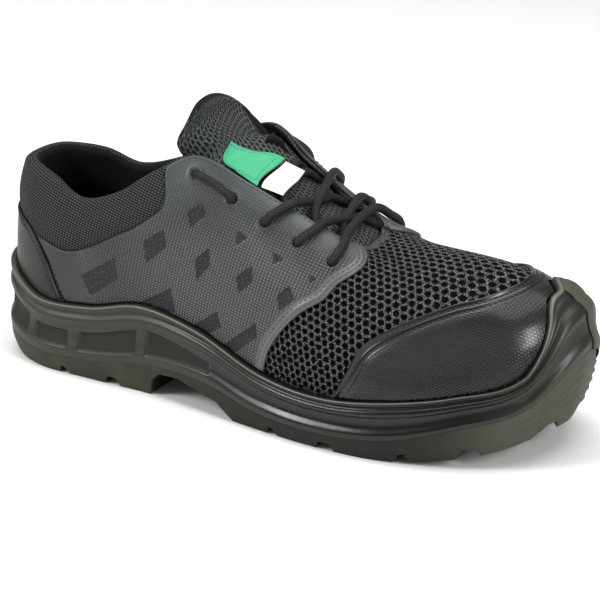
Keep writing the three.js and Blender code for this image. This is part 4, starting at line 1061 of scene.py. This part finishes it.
def makeQuarter(inner):
    start, end = quarter["ends"]
    share = evenly(start, end, quarter["step"], lambda t: skin(t, 0.6), (0.2, 0.5))
    u = 1 - share[::-1] if inner else share
    low = quarterLow(u)
    high = np.maximum(through(bandSeam, outerShare(u)), low + 1e-4)
    uu, _, vv = overlayGrid(u, low, high, quarter["rows"], (0.002, 0.005))
    flat = fabric(uu, vv)
    rim = np.concatenate([flat[:, 0], flat[::-1, -1]])
    rim = rim[np.concatenate([[True], np.linalg.norm(np.diff(rim, axis=0), axis=1) > 0.4])]
    edge = distanceTo(flat, rim, closed=True)
    seamU = np.linspace(frontSeam[0][0], frontSeam[-1][0], 120)
    seam = fabric(1 - seamU if inner else seamU, through(frontSeam, seamU))
    front = distanceTo(flat, seam)
    window = np.full(uu.shape, -9.0)
    for corners in windows:
        corners = np.array(corners)
        spots = fabric(1 - corners[:, 0] if inner else corners[:, 0], corners[:, 1])
        gap = distanceTo(flat, spots, closed=True)
        window = np.maximum(window, np.where(insideOf(flat, spots), gap, -gap))
    height = quarter["wall"] * smooth(-0.35, 0.6, edge)
    height = height + quarter["bandRise"] * smooth(quarter["band"] + 0.6, quarter["band"] - 0.8, front)
    height = height - stitchGrooves(front, quarter["stitchRows"], 0.4, 0.45)
    height = height - quarter["windowDepth"] * smooth(-0.2, 0.4, window)
    for _, hole, level in eyelets:
        spot = fabric(np.array(1 - hole if inner else hole), np.array(level))
        away = np.linalg.norm(flat - spot, axis=-1)
        height = height - 1.6 * smooth(2.6, 1.4, away) + 0.25 * np.exp(-((away - 3.4) / 0.9) ** 2)
    height = np.where(edge < 1e-6, 0, height)
    emboss = smooth(0.12, 0.165, outerShare(uu)) * smooth(0.97, 0.78, vv)
    emboss = emboss * smooth(quarter["band"], quarter["band"] + 2, front)
    top = wall(uu, vv, last["clearance"] + np.maximum(height, -0.9))
    back = overlayBack(u, low, high, 9, last["clearance"] - 0.95)
    side = "inner" if inner else "outer"
    piece = shell("quarter_film_" + side, top, back, [film], uv=flat,
                  floats={"window": window, "emboss": emboss})
    stand(piece, "quarter", "quarter_" + side)


makeQuarter(False)
makeQuarter(True)

# Toe cap and heel counter: leather with a turned edge and rows of stitches
cap = {"step": 0.8, "rows": 90, "wall": 0.9, "stitchRows": (2.4, 5.0), "bead": 0.5}
counter = {"step": 0.9, "rows": 60, "wall": 0.9, "stitchRows": (2.2,), "bead": 0.45, "end": 0.114}


def makeCap():
    start = capSeam[0][0]
    u = evenly(start, 1 - start, cap["step"], lambda t: skin(t, 0.35), (0.2, 0.5))
    low = levelAt(u, soleTopAt(u) + 0.5)
    high = np.maximum(through(capSeam, outerShare(u)), low + 1e-4)
    uu, ss, vv = overlayGrid(u, low, high, cap["rows"], (0.003, 0.006))
    points = skin(uu, vv)
    seam = distanceTo(points, seamOver(capSeam, start, 1 - start))
    height = cap["wall"] * smooth(-0.3, 0.6, seam) + cap["bead"] * np.exp(-((seam - 0.9) / 0.7) ** 2)
    height = height - stitchGrooves(seam, cap["stitchRows"], 0.45, 0.5)
    height = np.where((ss == 0) | (ss == 1), 0, height)
    top = wall(uu, vv, last["clearance"] + height)
    back = overlayBack(u, low, high, 9)
    us, vs = np.linspace(start - 0.02, 1.02 - start, 61), np.linspace(0.05, 0.66, 31)
    uv = lookUp(layFlat(us, vs, 0), us, vs, uu, vv)
    emboss = smooth(5.5, 9, seam)
    piece = shell("toe_cap_leather", top, back, [capLeather], uv=uv, floats={"emboss": emboss})
    stand(piece, "toe_cap", "toe_cap")


def seamOver(table, low, high, count=400):
    u = np.linspace(low, high, count)
    return skin(u, through(table, np.minimum(np.abs(u), np.abs(1 - u))))


def makeCounter():
    end = counter["end"]
    u = evenly(-end, end, counter["step"], lambda t: skin(t, 0.5), (0.2, 0.5))
    low = levelAt(u, soleTopAt(u) + 0.5)
    high = np.maximum(through(counterSeam, np.abs(u)), low + 1e-4)
    uu, ss, vv = overlayGrid(u, low, high, counter["rows"], (0.004, 0.01))
    seam = distanceTo(skin(uu, vv), seamOver(counterSeam, -end, end))
    bead = counter["bead"] * np.exp(-((seam - 0.8) / 0.6) ** 2)
    height = counter["wall"] * smooth(-0.3, 0.6, seam) + bead
    height = height - stitchGrooves(seam, counter["stitchRows"], 0.4, 0.5)
    height = np.where((ss == 0) | (ss == 1), 0, height)
    top = wall(uu, vv, last["clearance"] + height)
    back = overlayBack(u, low, high, 7)
    piece = shell("heel_counter_leather", top, back, [counterLeather], uv=fabric(uu, vv))
    stand(piece, "heel_counter", "heel_counter")


heelTab = {"half": 0.012, "low": 0.8, "high": 0.97, "wall": 0.9, "tall": 90}


def makeHeelTab():
    half, low, high = heelTab["half"], heelTab["low"], heelTab["high"]
    u = np.linspace(-half, half, 25)
    v = np.linspace(low, high, 61)
    uu, vv = np.meshgrid(u, v, indexing="ij")
    sideways = (half - np.abs(uu)) * perimeter / 2
    edge = np.minimum(sideways, np.minimum(vv - low, high - vv) * heelTab["tall"])
    rise = upper["crown"] * 0.9 + heelTab["wall"] * smooth(-0.2, 0.7, edge)
    top = wall(uu, vv, last["clearance"] + rise)
    ub, vb = np.meshgrid(u, np.linspace(low, high, 7), indexing="ij")
    back = wall(ub, vb, last["clearance"] + upper["crown"] * 0.5)
    piece = shell("heel_tab_strip", top, back, [counterLeather], uv=fabric(uu, vv))
    stand(piece, "heel_counter", "heel_tab")


makeCap()
makeCounter()
makeHeelTab()

# Tongue: stations as (u, v of the edge, v of the body, crown's share, extra depth) under the throat,
# and (back, up, outer edge x y z, inner edge x y z) for its free end
throatStations = ((0.285, 0.94, 0.99, 1, 1), (0.305, 0.88, 0.985, 1, 0.6), (0.33, 0.86, 0.98, 1, 0.4),
                  (0.355, 0.86, 0.98, 1, 0.4), (0.38, 0.86, 0.98, 1, 0.3), (0.4, 0.87, 0.96, 0.8, 0.4),
                  (0.42, 0.87, 0.94, -0.1, 2.3), (0.445, 0.87, 0.92, 0, 3), (0.475, 0.86, 0.89, 0, 2.2))
freeStations = ((13.5, 20.7, -1, -16, -1.5, 4, 17, -8.5), (15, 16.7, -4.3, -19, -5, 8.5, 17.5, -6.5),
                (14, 12.7, -10, -20.5, -9, 11.5, 16.5, -5), (10.5, 9.2, -14.5, -17.5, -12.5, 13.5, 15, -5.5),
                (5.5, 4.7, -14, -13.5, -15, 13, 14.8, -6))
tongue = {"thickness": 6, "edge": 2.5, "crown": 2.5, "bodyShare": (0.35, 0.7, 0.38),
          "crownDirection": (0.42, 0, 0.91), "step": 0.9, "puff": 0.8, "fill": 0.6}
stationSteps = 8  # steps of the smoothed tongue from one station to the next


def throatControls(u, vEdge, vBody, share, depth):
    def under(w, v):
        return wall(w, v, -(thickness(w, v) + last["clearance"] * 4 + depth))

    a, b, c, d = under(u, vEdge), under(u, vBody), under(1 - u, vBody), under(1 - u, vEdge)
    top = (b + c) / 2 + np.array(tongue["crownDirection"]) * tongue["crown"] * share
    return np.stack([a, b, top, c, d])


def freeControls(row, base):
    top = base + np.array((-row[0], 0, row[1]))
    outerEdge, innerEdge = np.array(row[2:5]), np.array(row[5:8])
    share = np.array(tongue["bodyShare"])
    return np.stack([top + outerEdge, top + outerEdge * share, top, top + innerEdge * share, top + innerEdge])


throatSections = [throatControls(*row) for row in throatStations]
tongueSections = np.array([freeControls(row, throatSections[0][2]) for row in freeStations] + throatSections)


# Centripetal curve through five points, as many as there are rows; t runs from 0 to 1
def centripetal(points, t):
    count = points.shape[-2]
    place = np.clip(t, 0, 1) * (count - 1)
    k = np.clip(np.floor(place).astype(int), 0, count - 2)
    f = place - k
    padded = np.concatenate([2 * points[..., :1, :] - points[..., 1:2, :], points,
                             2 * points[..., -1:, :] - points[..., -2:-1, :]], -2)
    pick = [np.take_along_axis(padded, (k + step)[..., None, None], -2)[..., 0, :] for step in range(4)]
    spans = [np.maximum(np.linalg.norm(b - a, axis=-1), 1e-9) ** 0.5 for a, b in zip(pick[:-1], pick[1:])]
    d0, d1, d2 = (s[..., None] for s in spans)
    p0, p1, p2, p3 = pick
    m1 = ((p1 - p0) / d0 - (p2 - p0) / (d0 + d1) + (p2 - p1) / d1) * d1
    m2 = ((p2 - p1) / d1 - (p3 - p1) / (d1 + d2) + (p3 - p2) / d2) * d1
    f = f[..., None]
    return p1 + f * (m1 + f * (3 * (p2 - p1) - 2 * m1 - m2 + f * (2 * (p1 - p2) + m1 + m2)))


# The tongue's sections joined by a smooth curve, so that no station shows as a fold
def smoothTongue():
    count = len(tongueSections)
    fine = np.linspace(0, count - 1, (count - 1) * stationSteps + 1)
    keys = np.arange(count)
    dense = np.empty((len(fine),) + tongueSections.shape[1:])
    for n in range(5):
        for axis in range(3):
            dense[:, n, axis] = through(np.stack([keys, tongueSections[:, n, axis]], 1), fine)
    return dense


denseSections = smoothTongue()


def tongueSurface(i, t, offset=0.0):
    i, t = np.broadcast_arrays(np.asarray(i, float), np.asarray(t, float))

    def middle(station, share):
        place = np.clip(station, 0, len(tongueSections) - 1) * stationSteps
        k = np.clip(np.floor(place).astype(int), 0, len(denseSections) - 2)
        points = mix(denseSections[k], denseSections[k + 1], (place - k)[..., None, None])
        return centripetal(points, share)

    step = 0.03
    run = middle(i + step, t) - middle(i - step, t)
    width = middle(i, np.minimum(t + step, 1)) - middle(i, np.maximum(t - step, 0))
    return middle(i, t) + unit(np.cross(run, width)) * np.asarray(offset)[..., None]


def makeTongue():
    end = len(tongueSections) - 1
    i = evenly(0, end, tongue["step"], lambda s: tongueSurface(s, 0.5))
    t = evenly(0, 1, tongue["step"], lambda s: tongueSurface(2.0, s))
    ii, tt = np.meshgrid(i, t, indexing="ij")
    rim = np.abs(2 * tt - 1)
    fromTop = smooth(0, 0.5, ii)
    depth = mix(tongue["thickness"], tongue["edge"], rim ** 3)
    rimRound = np.sqrt(np.clip(1 - rim ** 10, 0, 1))
    topRound = np.sqrt(np.clip(1 - (1 - np.clip(ii / 0.35, 0, 1)) ** 2, 0, 1))
    rounding = rimRound * topRound
    puff = tongue["puff"] * smooth(1, 0.85, rim) * fromTop
    over = tongueSurface(ii, tt, -depth / 2 + depth / 2 * rounding + puff - tongue["puff"])
    under = tongueSurface(ii, tt, -depth / 2 - depth / 2 * rounding)
    girth = np.concatenate([[0], np.cumsum(np.linalg.norm(np.diff(over[40], axis=0), axis=1))])
    rising = np.concatenate([[0], np.cumsum(np.linalg.norm(np.diff(over[:, len(t) // 2], axis=0), axis=1))])
    uv = np.stack(np.meshgrid(rising, girth, indexing="ij"), -1)
    border = np.maximum(smooth(0.8, 0.84, tt) * smooth(6.5, 5.5, ii), smooth(0.24, 0.1, ii))
    n, m = ii.shape
    stack = np.concatenate([over, under[:, ::-1]], 1)
    index = np.arange(n * 2 * m).reshape(n, 2 * m)
    caps = [list(index[0][::-1]), list(index[-1])]
    uv = np.concatenate([uv, uv[:, ::-1]], 1)
    border = np.concatenate([border, np.ones(border.shape)], 1)
    piece = addPiece("tongue_padded", stack, quads(index, wrapV=True), [tongueKnit], extra=caps, uv=uv,
                     floats={"border": border}, weld=True)
    stand(piece, "tongue", "tongue")


makeTongue()

# Laces: one cord of 4.2 mm through ten eyelets
lace = {"diameter": 4.2, "sides": 24, "step": 0.45, "strands": 8, "braid": 3.4, "relief": 0.16,
        "endRound": 1.6, "hiddenLevel": 0.93, "hiddenGap": 0.6, "edgeSink": -1.4}
laceRadius = lace["diameter"] / 2
laceLift = last["clearance"] * 2 + quarter["wall"] + laceRadius


def tube(route):
    route = np.array(route, float)
    t = evenly(0, 1, lace["step"], lambda s: centripetal(np.broadcast_to(route, s.shape + route.shape), s))
    line = centripetal(np.broadcast_to(route, t.shape + route.shape), t)
    forward = unit(np.gradient(line, axis=0))
    side = unit(np.cross(forward[0], (0, 0, 1.0)))
    sides = []
    for direction in forward:
        side = unit(side - direction * (side @ direction))
        sides.append(side)
    sides = np.array(sides)
    ups = np.cross(forward, sides)
    run = np.concatenate([[0], np.cumsum(np.linalg.norm(np.diff(line, axis=0), axis=1))])
    turn = np.arange(lace["sides"] + 1) / lace["sides"]
    rr, aa = np.meshgrid(run / lace["braid"], turn, indexing="ij")
    one = np.mod(aa * lace["strands"] + rr * 2, 1)
    other = np.mod(aa * lace["strands"] - rr * 2, 1)
    relief = lace["relief"] * (np.sin(one * math.pi) * np.sin(other * math.pi) - 0.4)
    radius = laceRadius * 0.97 + relief
    ends = np.minimum(run, run[-1] - run)[:, None]
    nearEnd = 1 - np.clip(ends / lace["endRound"], 0, 1)
    radius = radius * np.sqrt(np.clip(1 - nearEnd ** 2, 0.02, 1))
    angle = aa * 2 * math.pi
    outward = sides[:, None] * np.cos(angle)[..., None] + ups[:, None] * np.sin(angle)[..., None]
    ring = line[:, None] + outward * radius[..., None]
    ring = ring[:, :-1]
    n, m = ring.shape[:2]
    index = np.arange(n * m).reshape(n, m)
    return ring, index, np.stack([aa[:, :-1] * lace["strands"], rr[:, :-1] * 2], -1)


def overEdge(k, inner):
    _, hole, level = eyelets[k]
    edge = crossings["inner" if inner else "outer"][k][0]
    sign = -1 if inner else 1

    def place(share, lift):
        return wall(sign * mix(hole, edge, share), mix(level, 1, share), lift)

    bent = [place(share, laceLift - sink) for share, sink in ((0.22, 0.5), (0.55, 0.25), (1, -0.2))]
    return [place(0, -2.5), place(0.03, 0.9)] + bent


# The end of a strand under the upper
def hiddenEnd(u):
    level = lace["hiddenLevel"]
    return wall(u, level, -thickness(u, level) - laceRadius - lace["hiddenGap"])


# A crossing comes out from under one edge and runs straight to its eyelet on the other side
def strand(k, inner):
    sign = -1 if inner else 1
    edge, under = crossings["inner" if inner else "outer"][k]
    over = overEdge(k, inner)
    hidden = hiddenEnd(-sign * under)
    shown = wall(-sign * under, 1, lace["edgeSink"])
    leave = mix(shown, over[-1], 0.22) + (0, 0, 0.8)
    middle = mix(shown, over[-1], 0.55) + (0, 0, 2.2 if inner else 0.2)
    if k == 1:
        far = wall(sign * edge, 1, lace["edgeSink"])
        raised = mix(shown, far, 0.5) + (0, 0, 2 if inner else 0)
        return [hidden, leave, raised, mix(shown, far, 0.8), hiddenEnd(sign * edge)]
    return [hidden, leave, middle] + over[::-1]


def makeLace(name, routes, *nodes):
    points, faces, uvs, caps, total = [], [], [], [], 0
    for route in routes:
        ring, index, uv = tube(route)
        faces.append(quads(index, wrapV=True) + total)
        caps += [list(index[0][::-1] + total), list(index[-1] + total)]
        points.append(ring.reshape(-1, 3))
        uvs.append(uv.reshape(-1, 2))
        total += index.size
    faces = np.concatenate(faces)[:, ::-1]
    caps = [end[::-1] for end in caps]
    piece = addPiece(name, np.concatenate(points), faces, [cord], extra=caps, uv=np.concatenate(uvs))
    stand(piece, "lace", *nodes)


makeLace("lace_bar_cord", [overEdge(4, False) + overEdge(4, True)[::-1]], "lace_bar")
for k in (1, 2, 3):
    makeLace(f"lace_cross_{k}_cord", [strand(k, False), strand(k, True)], f"lace_cross_{k}")


def lock(inner):
    a, b = eyelets[0], eyelets[1]

    def place(s, lift):
        u = mix(a[1], b[1], s)
        return wall(1 - u if inner else u, mix(a[2], b[2], s), lift)
    lifts = ((0, -2.5), (0.02, 0.8), (0.2, laceLift - 0.3), (0.5, laceLift), (0.8, laceLift - 0.3),
             (0.98, 0.8), (1, -2.5))
    return [place(s, lift) for s, lift in lifts]


makeLace("lace_lock_outer_cord", [lock(False)], "lace_lock_outer")
makeLace("lace_lock_inner_cord", [lock(True)], "lace_lock_inner")

# Tags stitched on the tongue: station and share of the width of the four corners
tags = {"green": ((4.15, 0.41), (6, 0.27), (6.33, 0.56), (6.7, 0.26)),
        "white": ((6.42, 0.54), (6.79, 0.27), (6.95, 0.58), (7.42, 0.31)), "rise": (5.2, 6.1), "thick": 0.6}


def tagPoint(corners, down, across, offset=0.0):
    a, b, c, d = np.array(corners)
    down, across = np.asarray(down)[..., None], np.asarray(across)[..., None]
    place = mix(mix(a, b, down), mix(c, d, down), across)
    overLace = lace["diameter"] + last["clearance"] * 3
    lift = mix(last["clearance"], overLace, smooth(*tags["rise"], place[..., 0]))
    return tongueSurface(place[..., 0], place[..., 1], lift + offset)


def makeWovenTag(name, corners, material, slot, node):
    down, across = np.meshgrid(np.linspace(0, 1, 60), np.linspace(0, 1, 60), indexing="ij")
    rim = np.minimum(np.minimum(down, 1 - down), np.minimum(across, 1 - across))
    top = tagPoint(corners, down, across, tags["thick"] * smooth(-0.01, 0.03, rim))
    back = tagPoint(corners, down[:, ::10], np.linspace(0, 1, 6)[None, :] + 0 * down[:, ::10])
    run = np.cumsum(np.linalg.norm(np.diff(top[:, 30], axis=0), axis=1))
    wide = np.cumsum(np.linalg.norm(np.diff(top[30], axis=0), axis=1))
    uv = np.stack(np.meshgrid(np.append(0, run), np.append(0, wide), indexing="ij"), -1)
    piece = shell(name, top, back, [material], uv=uv)
    stand(piece, slot, node)


for tint, satin in (("green", greenTag), ("white", whiteTag)):
    makeWovenTag(f"tongue_tag_{tint}_woven", tags[tint], satin, "tag_" + tint, "tongue_tag_" + tint)

# Stitches: Geometry Nodes put one short thread on every step of a seam's line
stitch = {"pitch": 2.6, "long": 2.0, "wide": 0.55, "tall": 0.5}


def stitchTree(material):
    tree = bpy.data.node_groups.new("stitchRow", "GeometryNodeTree")
    add = partial(addNode, tree)
    tree.interface.new_socket("Geometry", in_out="INPUT", socket_type="NodeSocketGeometry")
    for name in ("pitch", "long", "wide", "tall"):
        socket = tree.interface.new_socket(name.capitalize(), in_out="INPUT", socket_type="NodeSocketFloat")
        socket.default_value = stitch[name] * millimetre
    tree.interface.new_socket("Geometry", in_out="OUTPUT", socket_type="NodeSocketGeometry")
    source = add("NodeGroupInput").outputs
    line = add("GeometryNodeMeshToCurve", {"Mesh": source["Geometry"]})
    spots = add("GeometryNodeResampleCurve", {"Curve": line, "Length": source["Pitch"]}, mode="LENGTH")
    upward = add("GeometryNodeInputNamedAttribute", {"Name": "up"}, data_type="FLOAT_VECTOR")
    aimed = add("FunctionNodeAlignRotationToVector", {"Vector": add("GeometryNodeInputTangent")}, axis="X")
    turned = add("FunctionNodeAlignRotationToVector", {"Rotation": aimed, "Vector": upward},
                 axis="Z", pivot_axis="X")
    size = add("ShaderNodeCombineXYZ", {0: source["Long"], 1: source["Wide"], 2: source["Tall"]})
    bead = add("GeometryNodeMeshUVSphere", {"Segments": 8, "Rings": 6, "Radius": 0.5})
    lying = add("GeometryNodeTransform", {"Geometry": bead, "Rotation": (0, math.pi / 2, 0)})
    copies = add("GeometryNodeInstanceOnPoints",
                 {"Points": spots, "Instance": lying, "Rotation": turned, "Scale": size})
    real = add("GeometryNodeRealizeInstances", {0: copies})
    add("NodeGroupOutput", {0: add("GeometryNodeSetMaterial", {"Geometry": real, "Material": material})})
    return tree


blackStitches = stitchTree(darkThread)


# One seam piece from lines of (points, normals) in millimetres
def makeStitches(name, lines, tree, slot, sizes=None):
    points = np.concatenate([line for line, _ in lines]) * millimetre
    normals = np.concatenate([normal for _, normal in lines])
    edges, total = [], 0
    for line, _ in lines:
        edges += [(total + i, total + i + 1) for i in range(len(line) - 1)]
        total += len(line)
    mesh = bpy.data.meshes.new(name)
    mesh.from_pydata(points.tolist(), edges, [])
    up = mesh.attributes.new("up", "FLOAT_VECTOR", "POINT")
    up.data.foreach_set("vector", normals.ravel())
    piece = bpy.data.objects.new(name, mesh)
    bpy.context.scene.collection.objects.link(piece)
    modifier = piece.modifiers.new("stitches", "NODES")
    modifier.node_group = tree
    for item in tree.interface.items_tree:
        if item.in_out == "INPUT" and item.name in (sizes or {}):
            modifier[item.identifier] = sizes[item.name] * millimetre
    graph = bpy.context.evaluated_depsgraph_get()
    made = bpy.data.meshes.new_from_object(piece.evaluated_get(graph))
    piece.modifiers.clear()
    piece.data = made
    made.polygons.foreach_set("use_smooth", [True] * len(made.polygons))
    stand(piece, slot)


# A line on the upper that runs beside a seam: away is the distance from the seam in millimetres
def besideSeam(table, low, high, away, offset, inner=False, count=260):
    u = np.linspace(low, high, count)
    v = through(table, outerShare(u))
    if inner:
        u = 1 - u
    here = skin(u, v)
    forward = unit(np.gradient(here, axis=0))
    normal = unit(wall(u, v, 1) - here)
    sideways = np.cross(normal, forward) * (1 if not inner else -1)
    # distances become steps in u and v through the skin's own slopes
    du = (skin(u + small, v) - skin(u - small, v)) / (2 * small)
    above = np.minimum(v + small, 1)
    dv = (skin(u, above) - skin(u, v - small)) / (above - v + small)[:, None]
    a, b, c = (du * du).sum(1), (du * dv).sum(1), (dv * dv).sum(1)
    p, q = (sideways * du).sum(1) * away, (sideways * dv).sum(1) * away
    det = np.maximum(a * c - b * b, 1e-9)
    u2, v2 = u + (p * c - q * b) / det, np.clip(v + (q * a - p * b) / det, 0, 1)
    return wall(u2, v2, offset), unit(wall(u2, v2, 1) - skin(u2, v2))


skinTop = last["clearance"] + quarter["wall"]
frontRows = []
for inner in (False, True):
    for away in quarter["stitchRows"]:
        frontRows.append(besideSeam(frontSeam, 0.278, 0.431, away, skinTop + 0.1, inner))
    frontRows.append(besideSeam(((0.262, 1), (0.43, 1)), 0.266, 0.428, -1.5, skinTop + 0.05, inner))
makeStitches("quarter_stitches", frontRows, blackStitches, "quarter")
capRows = []
for away in cap["stitchRows"]:
    for inner in (False, True):
        capRows.append(besideSeam(capSeam, 0.332, 0.499, -away, skinTop - 0.1, inner))
makeStitches("toe_cap_stitches", capRows, blackStitches, "toe_cap")
counterRows = [besideSeam(counterSeam, 0.002, 0.108, -counter["stitchRows"][0], skinTop - 0.1, inner)
               for inner in (False, True)]
makeStitches("heel_counter_stitches", counterRows, blackStitches, "heel_counter")


# A row inside the edges of a tag
def tagRow(corners, inset):
    rest = 1 - inset
    ring = np.array(((inset, inset), (rest, inset), (rest, rest), (inset, rest), (inset, inset)))
    share = np.linspace(0, 4, 160)
    place = np.stack([np.interp(share, range(5), ring[:, axis]) for axis in (0, 1)], -1)
    down, across = place.T
    line = tagPoint(corners, down, across, tags["thick"])
    return line, unit(tagPoint(corners, down, across, 1) - tagPoint(corners, down, across))


tagSizes = {"Pitch": 1.7, "Long": 1.25, "Wide": 0.34, "Tall": 0.3}
for tint, thread in (("green", greenThread), ("white", whiteThread)):
    makeStitches(f"tongue_tag_{tint}_stitches", [tagRow(tags[tint], 0.1)], stitchTree(thread),
                 "tag_" + tint, tagSizes)

# Stage, camera and light
view = {"azimuth": 30, "elevation": 20.6, "distance": 1.2, "focal": 2583, "center": (288.3, 290),
        "target": (0, 0, 0.05), "photo": 600, "sensor": 36}
# Place, aim and size in metres, and power in watts
lights = {
    "top": ((0, 0.1, 1.3), (0, 0, 0), (1.5, 1.0), 17),
    "left": ((-0.75, -0.75, 0.75), (0, 0, 0.06), (0.3, 0.5), 9),
    "right": ((0.95, -0.35, 0.5), (0.08, 0, 0.05), (0.15, 0.5), 6),
}
stage = {"reach": 6, "color": "#f7f7f7", "roughness": 0.9, "world": 0.3}


def makeCamera():
    data = bpy.data.cameras.new("camera")
    data.sensor_width = view["sensor"]
    data.lens = view["focal"] / view["photo"] * view["sensor"]
    data.shift_x = 0.5 - view["center"][0] / view["photo"]
    data.shift_y = view["center"][1] / view["photo"] - 0.5
    azimuth, elevation = math.radians(view["azimuth"]), math.radians(view["elevation"])
    back = Vector((math.sin(azimuth) * math.cos(elevation), -math.cos(azimuth) * math.cos(elevation),
                   math.sin(elevation)))
    camera = bpy.data.objects.new("camera", data)
    camera.location = Vector(view["target"]) + back * view["distance"]
    camera.rotation_euler = back.to_track_quat("Z", "Y").to_euler()
    bpy.context.scene.collection.objects.link(camera)
    bpy.context.scene.camera = camera


def makeLight(name, place, aim, size, power):
    data = bpy.data.lights.new(name, "AREA")
    data.shape, data.size, data.size_y = "RECTANGLE", size[0], size[1]
    data.energy = power
    light = bpy.data.objects.new(name, data)
    light.location = place
    light.rotation_euler = (Vector(place) - Vector(aim)).to_track_quat("Z", "Y").to_euler()
    bpy.context.scene.collection.objects.link(light)


def makeStage():
    mesh = bpy.data.meshes.new("floor")
    reach = stage["reach"]
    corners = [(-reach, -reach, 0), (reach, -reach, 0), (reach, reach, 0), (-reach, reach, 0)]
    mesh.from_pydata(corners, [], [(0, 1, 2, 3)])
    floor = bpy.data.objects.new("floor", mesh)
    bpy.context.scene.collection.objects.link(floor)
    material, add = newMaterial("whitePaperSweep")
    dress(add, hexColor(stage["color"]), stage["roughness"])
    mesh.materials.append(material)
    world = bpy.data.worlds.new("studio")
    world.use_nodes = True
    background = world.node_tree.nodes["Background"]
    background.inputs["Color"].default_value = (1, 1, 1, 1)
    background.inputs["Strength"].default_value = stage["world"]
    bpy.context.scene.world = world
    bpy.context.scene.view_settings.view_transform = "Standard"


makeCamera()
for name, settings in lights.items():
    makeLight(name, *settings)
makeStage()
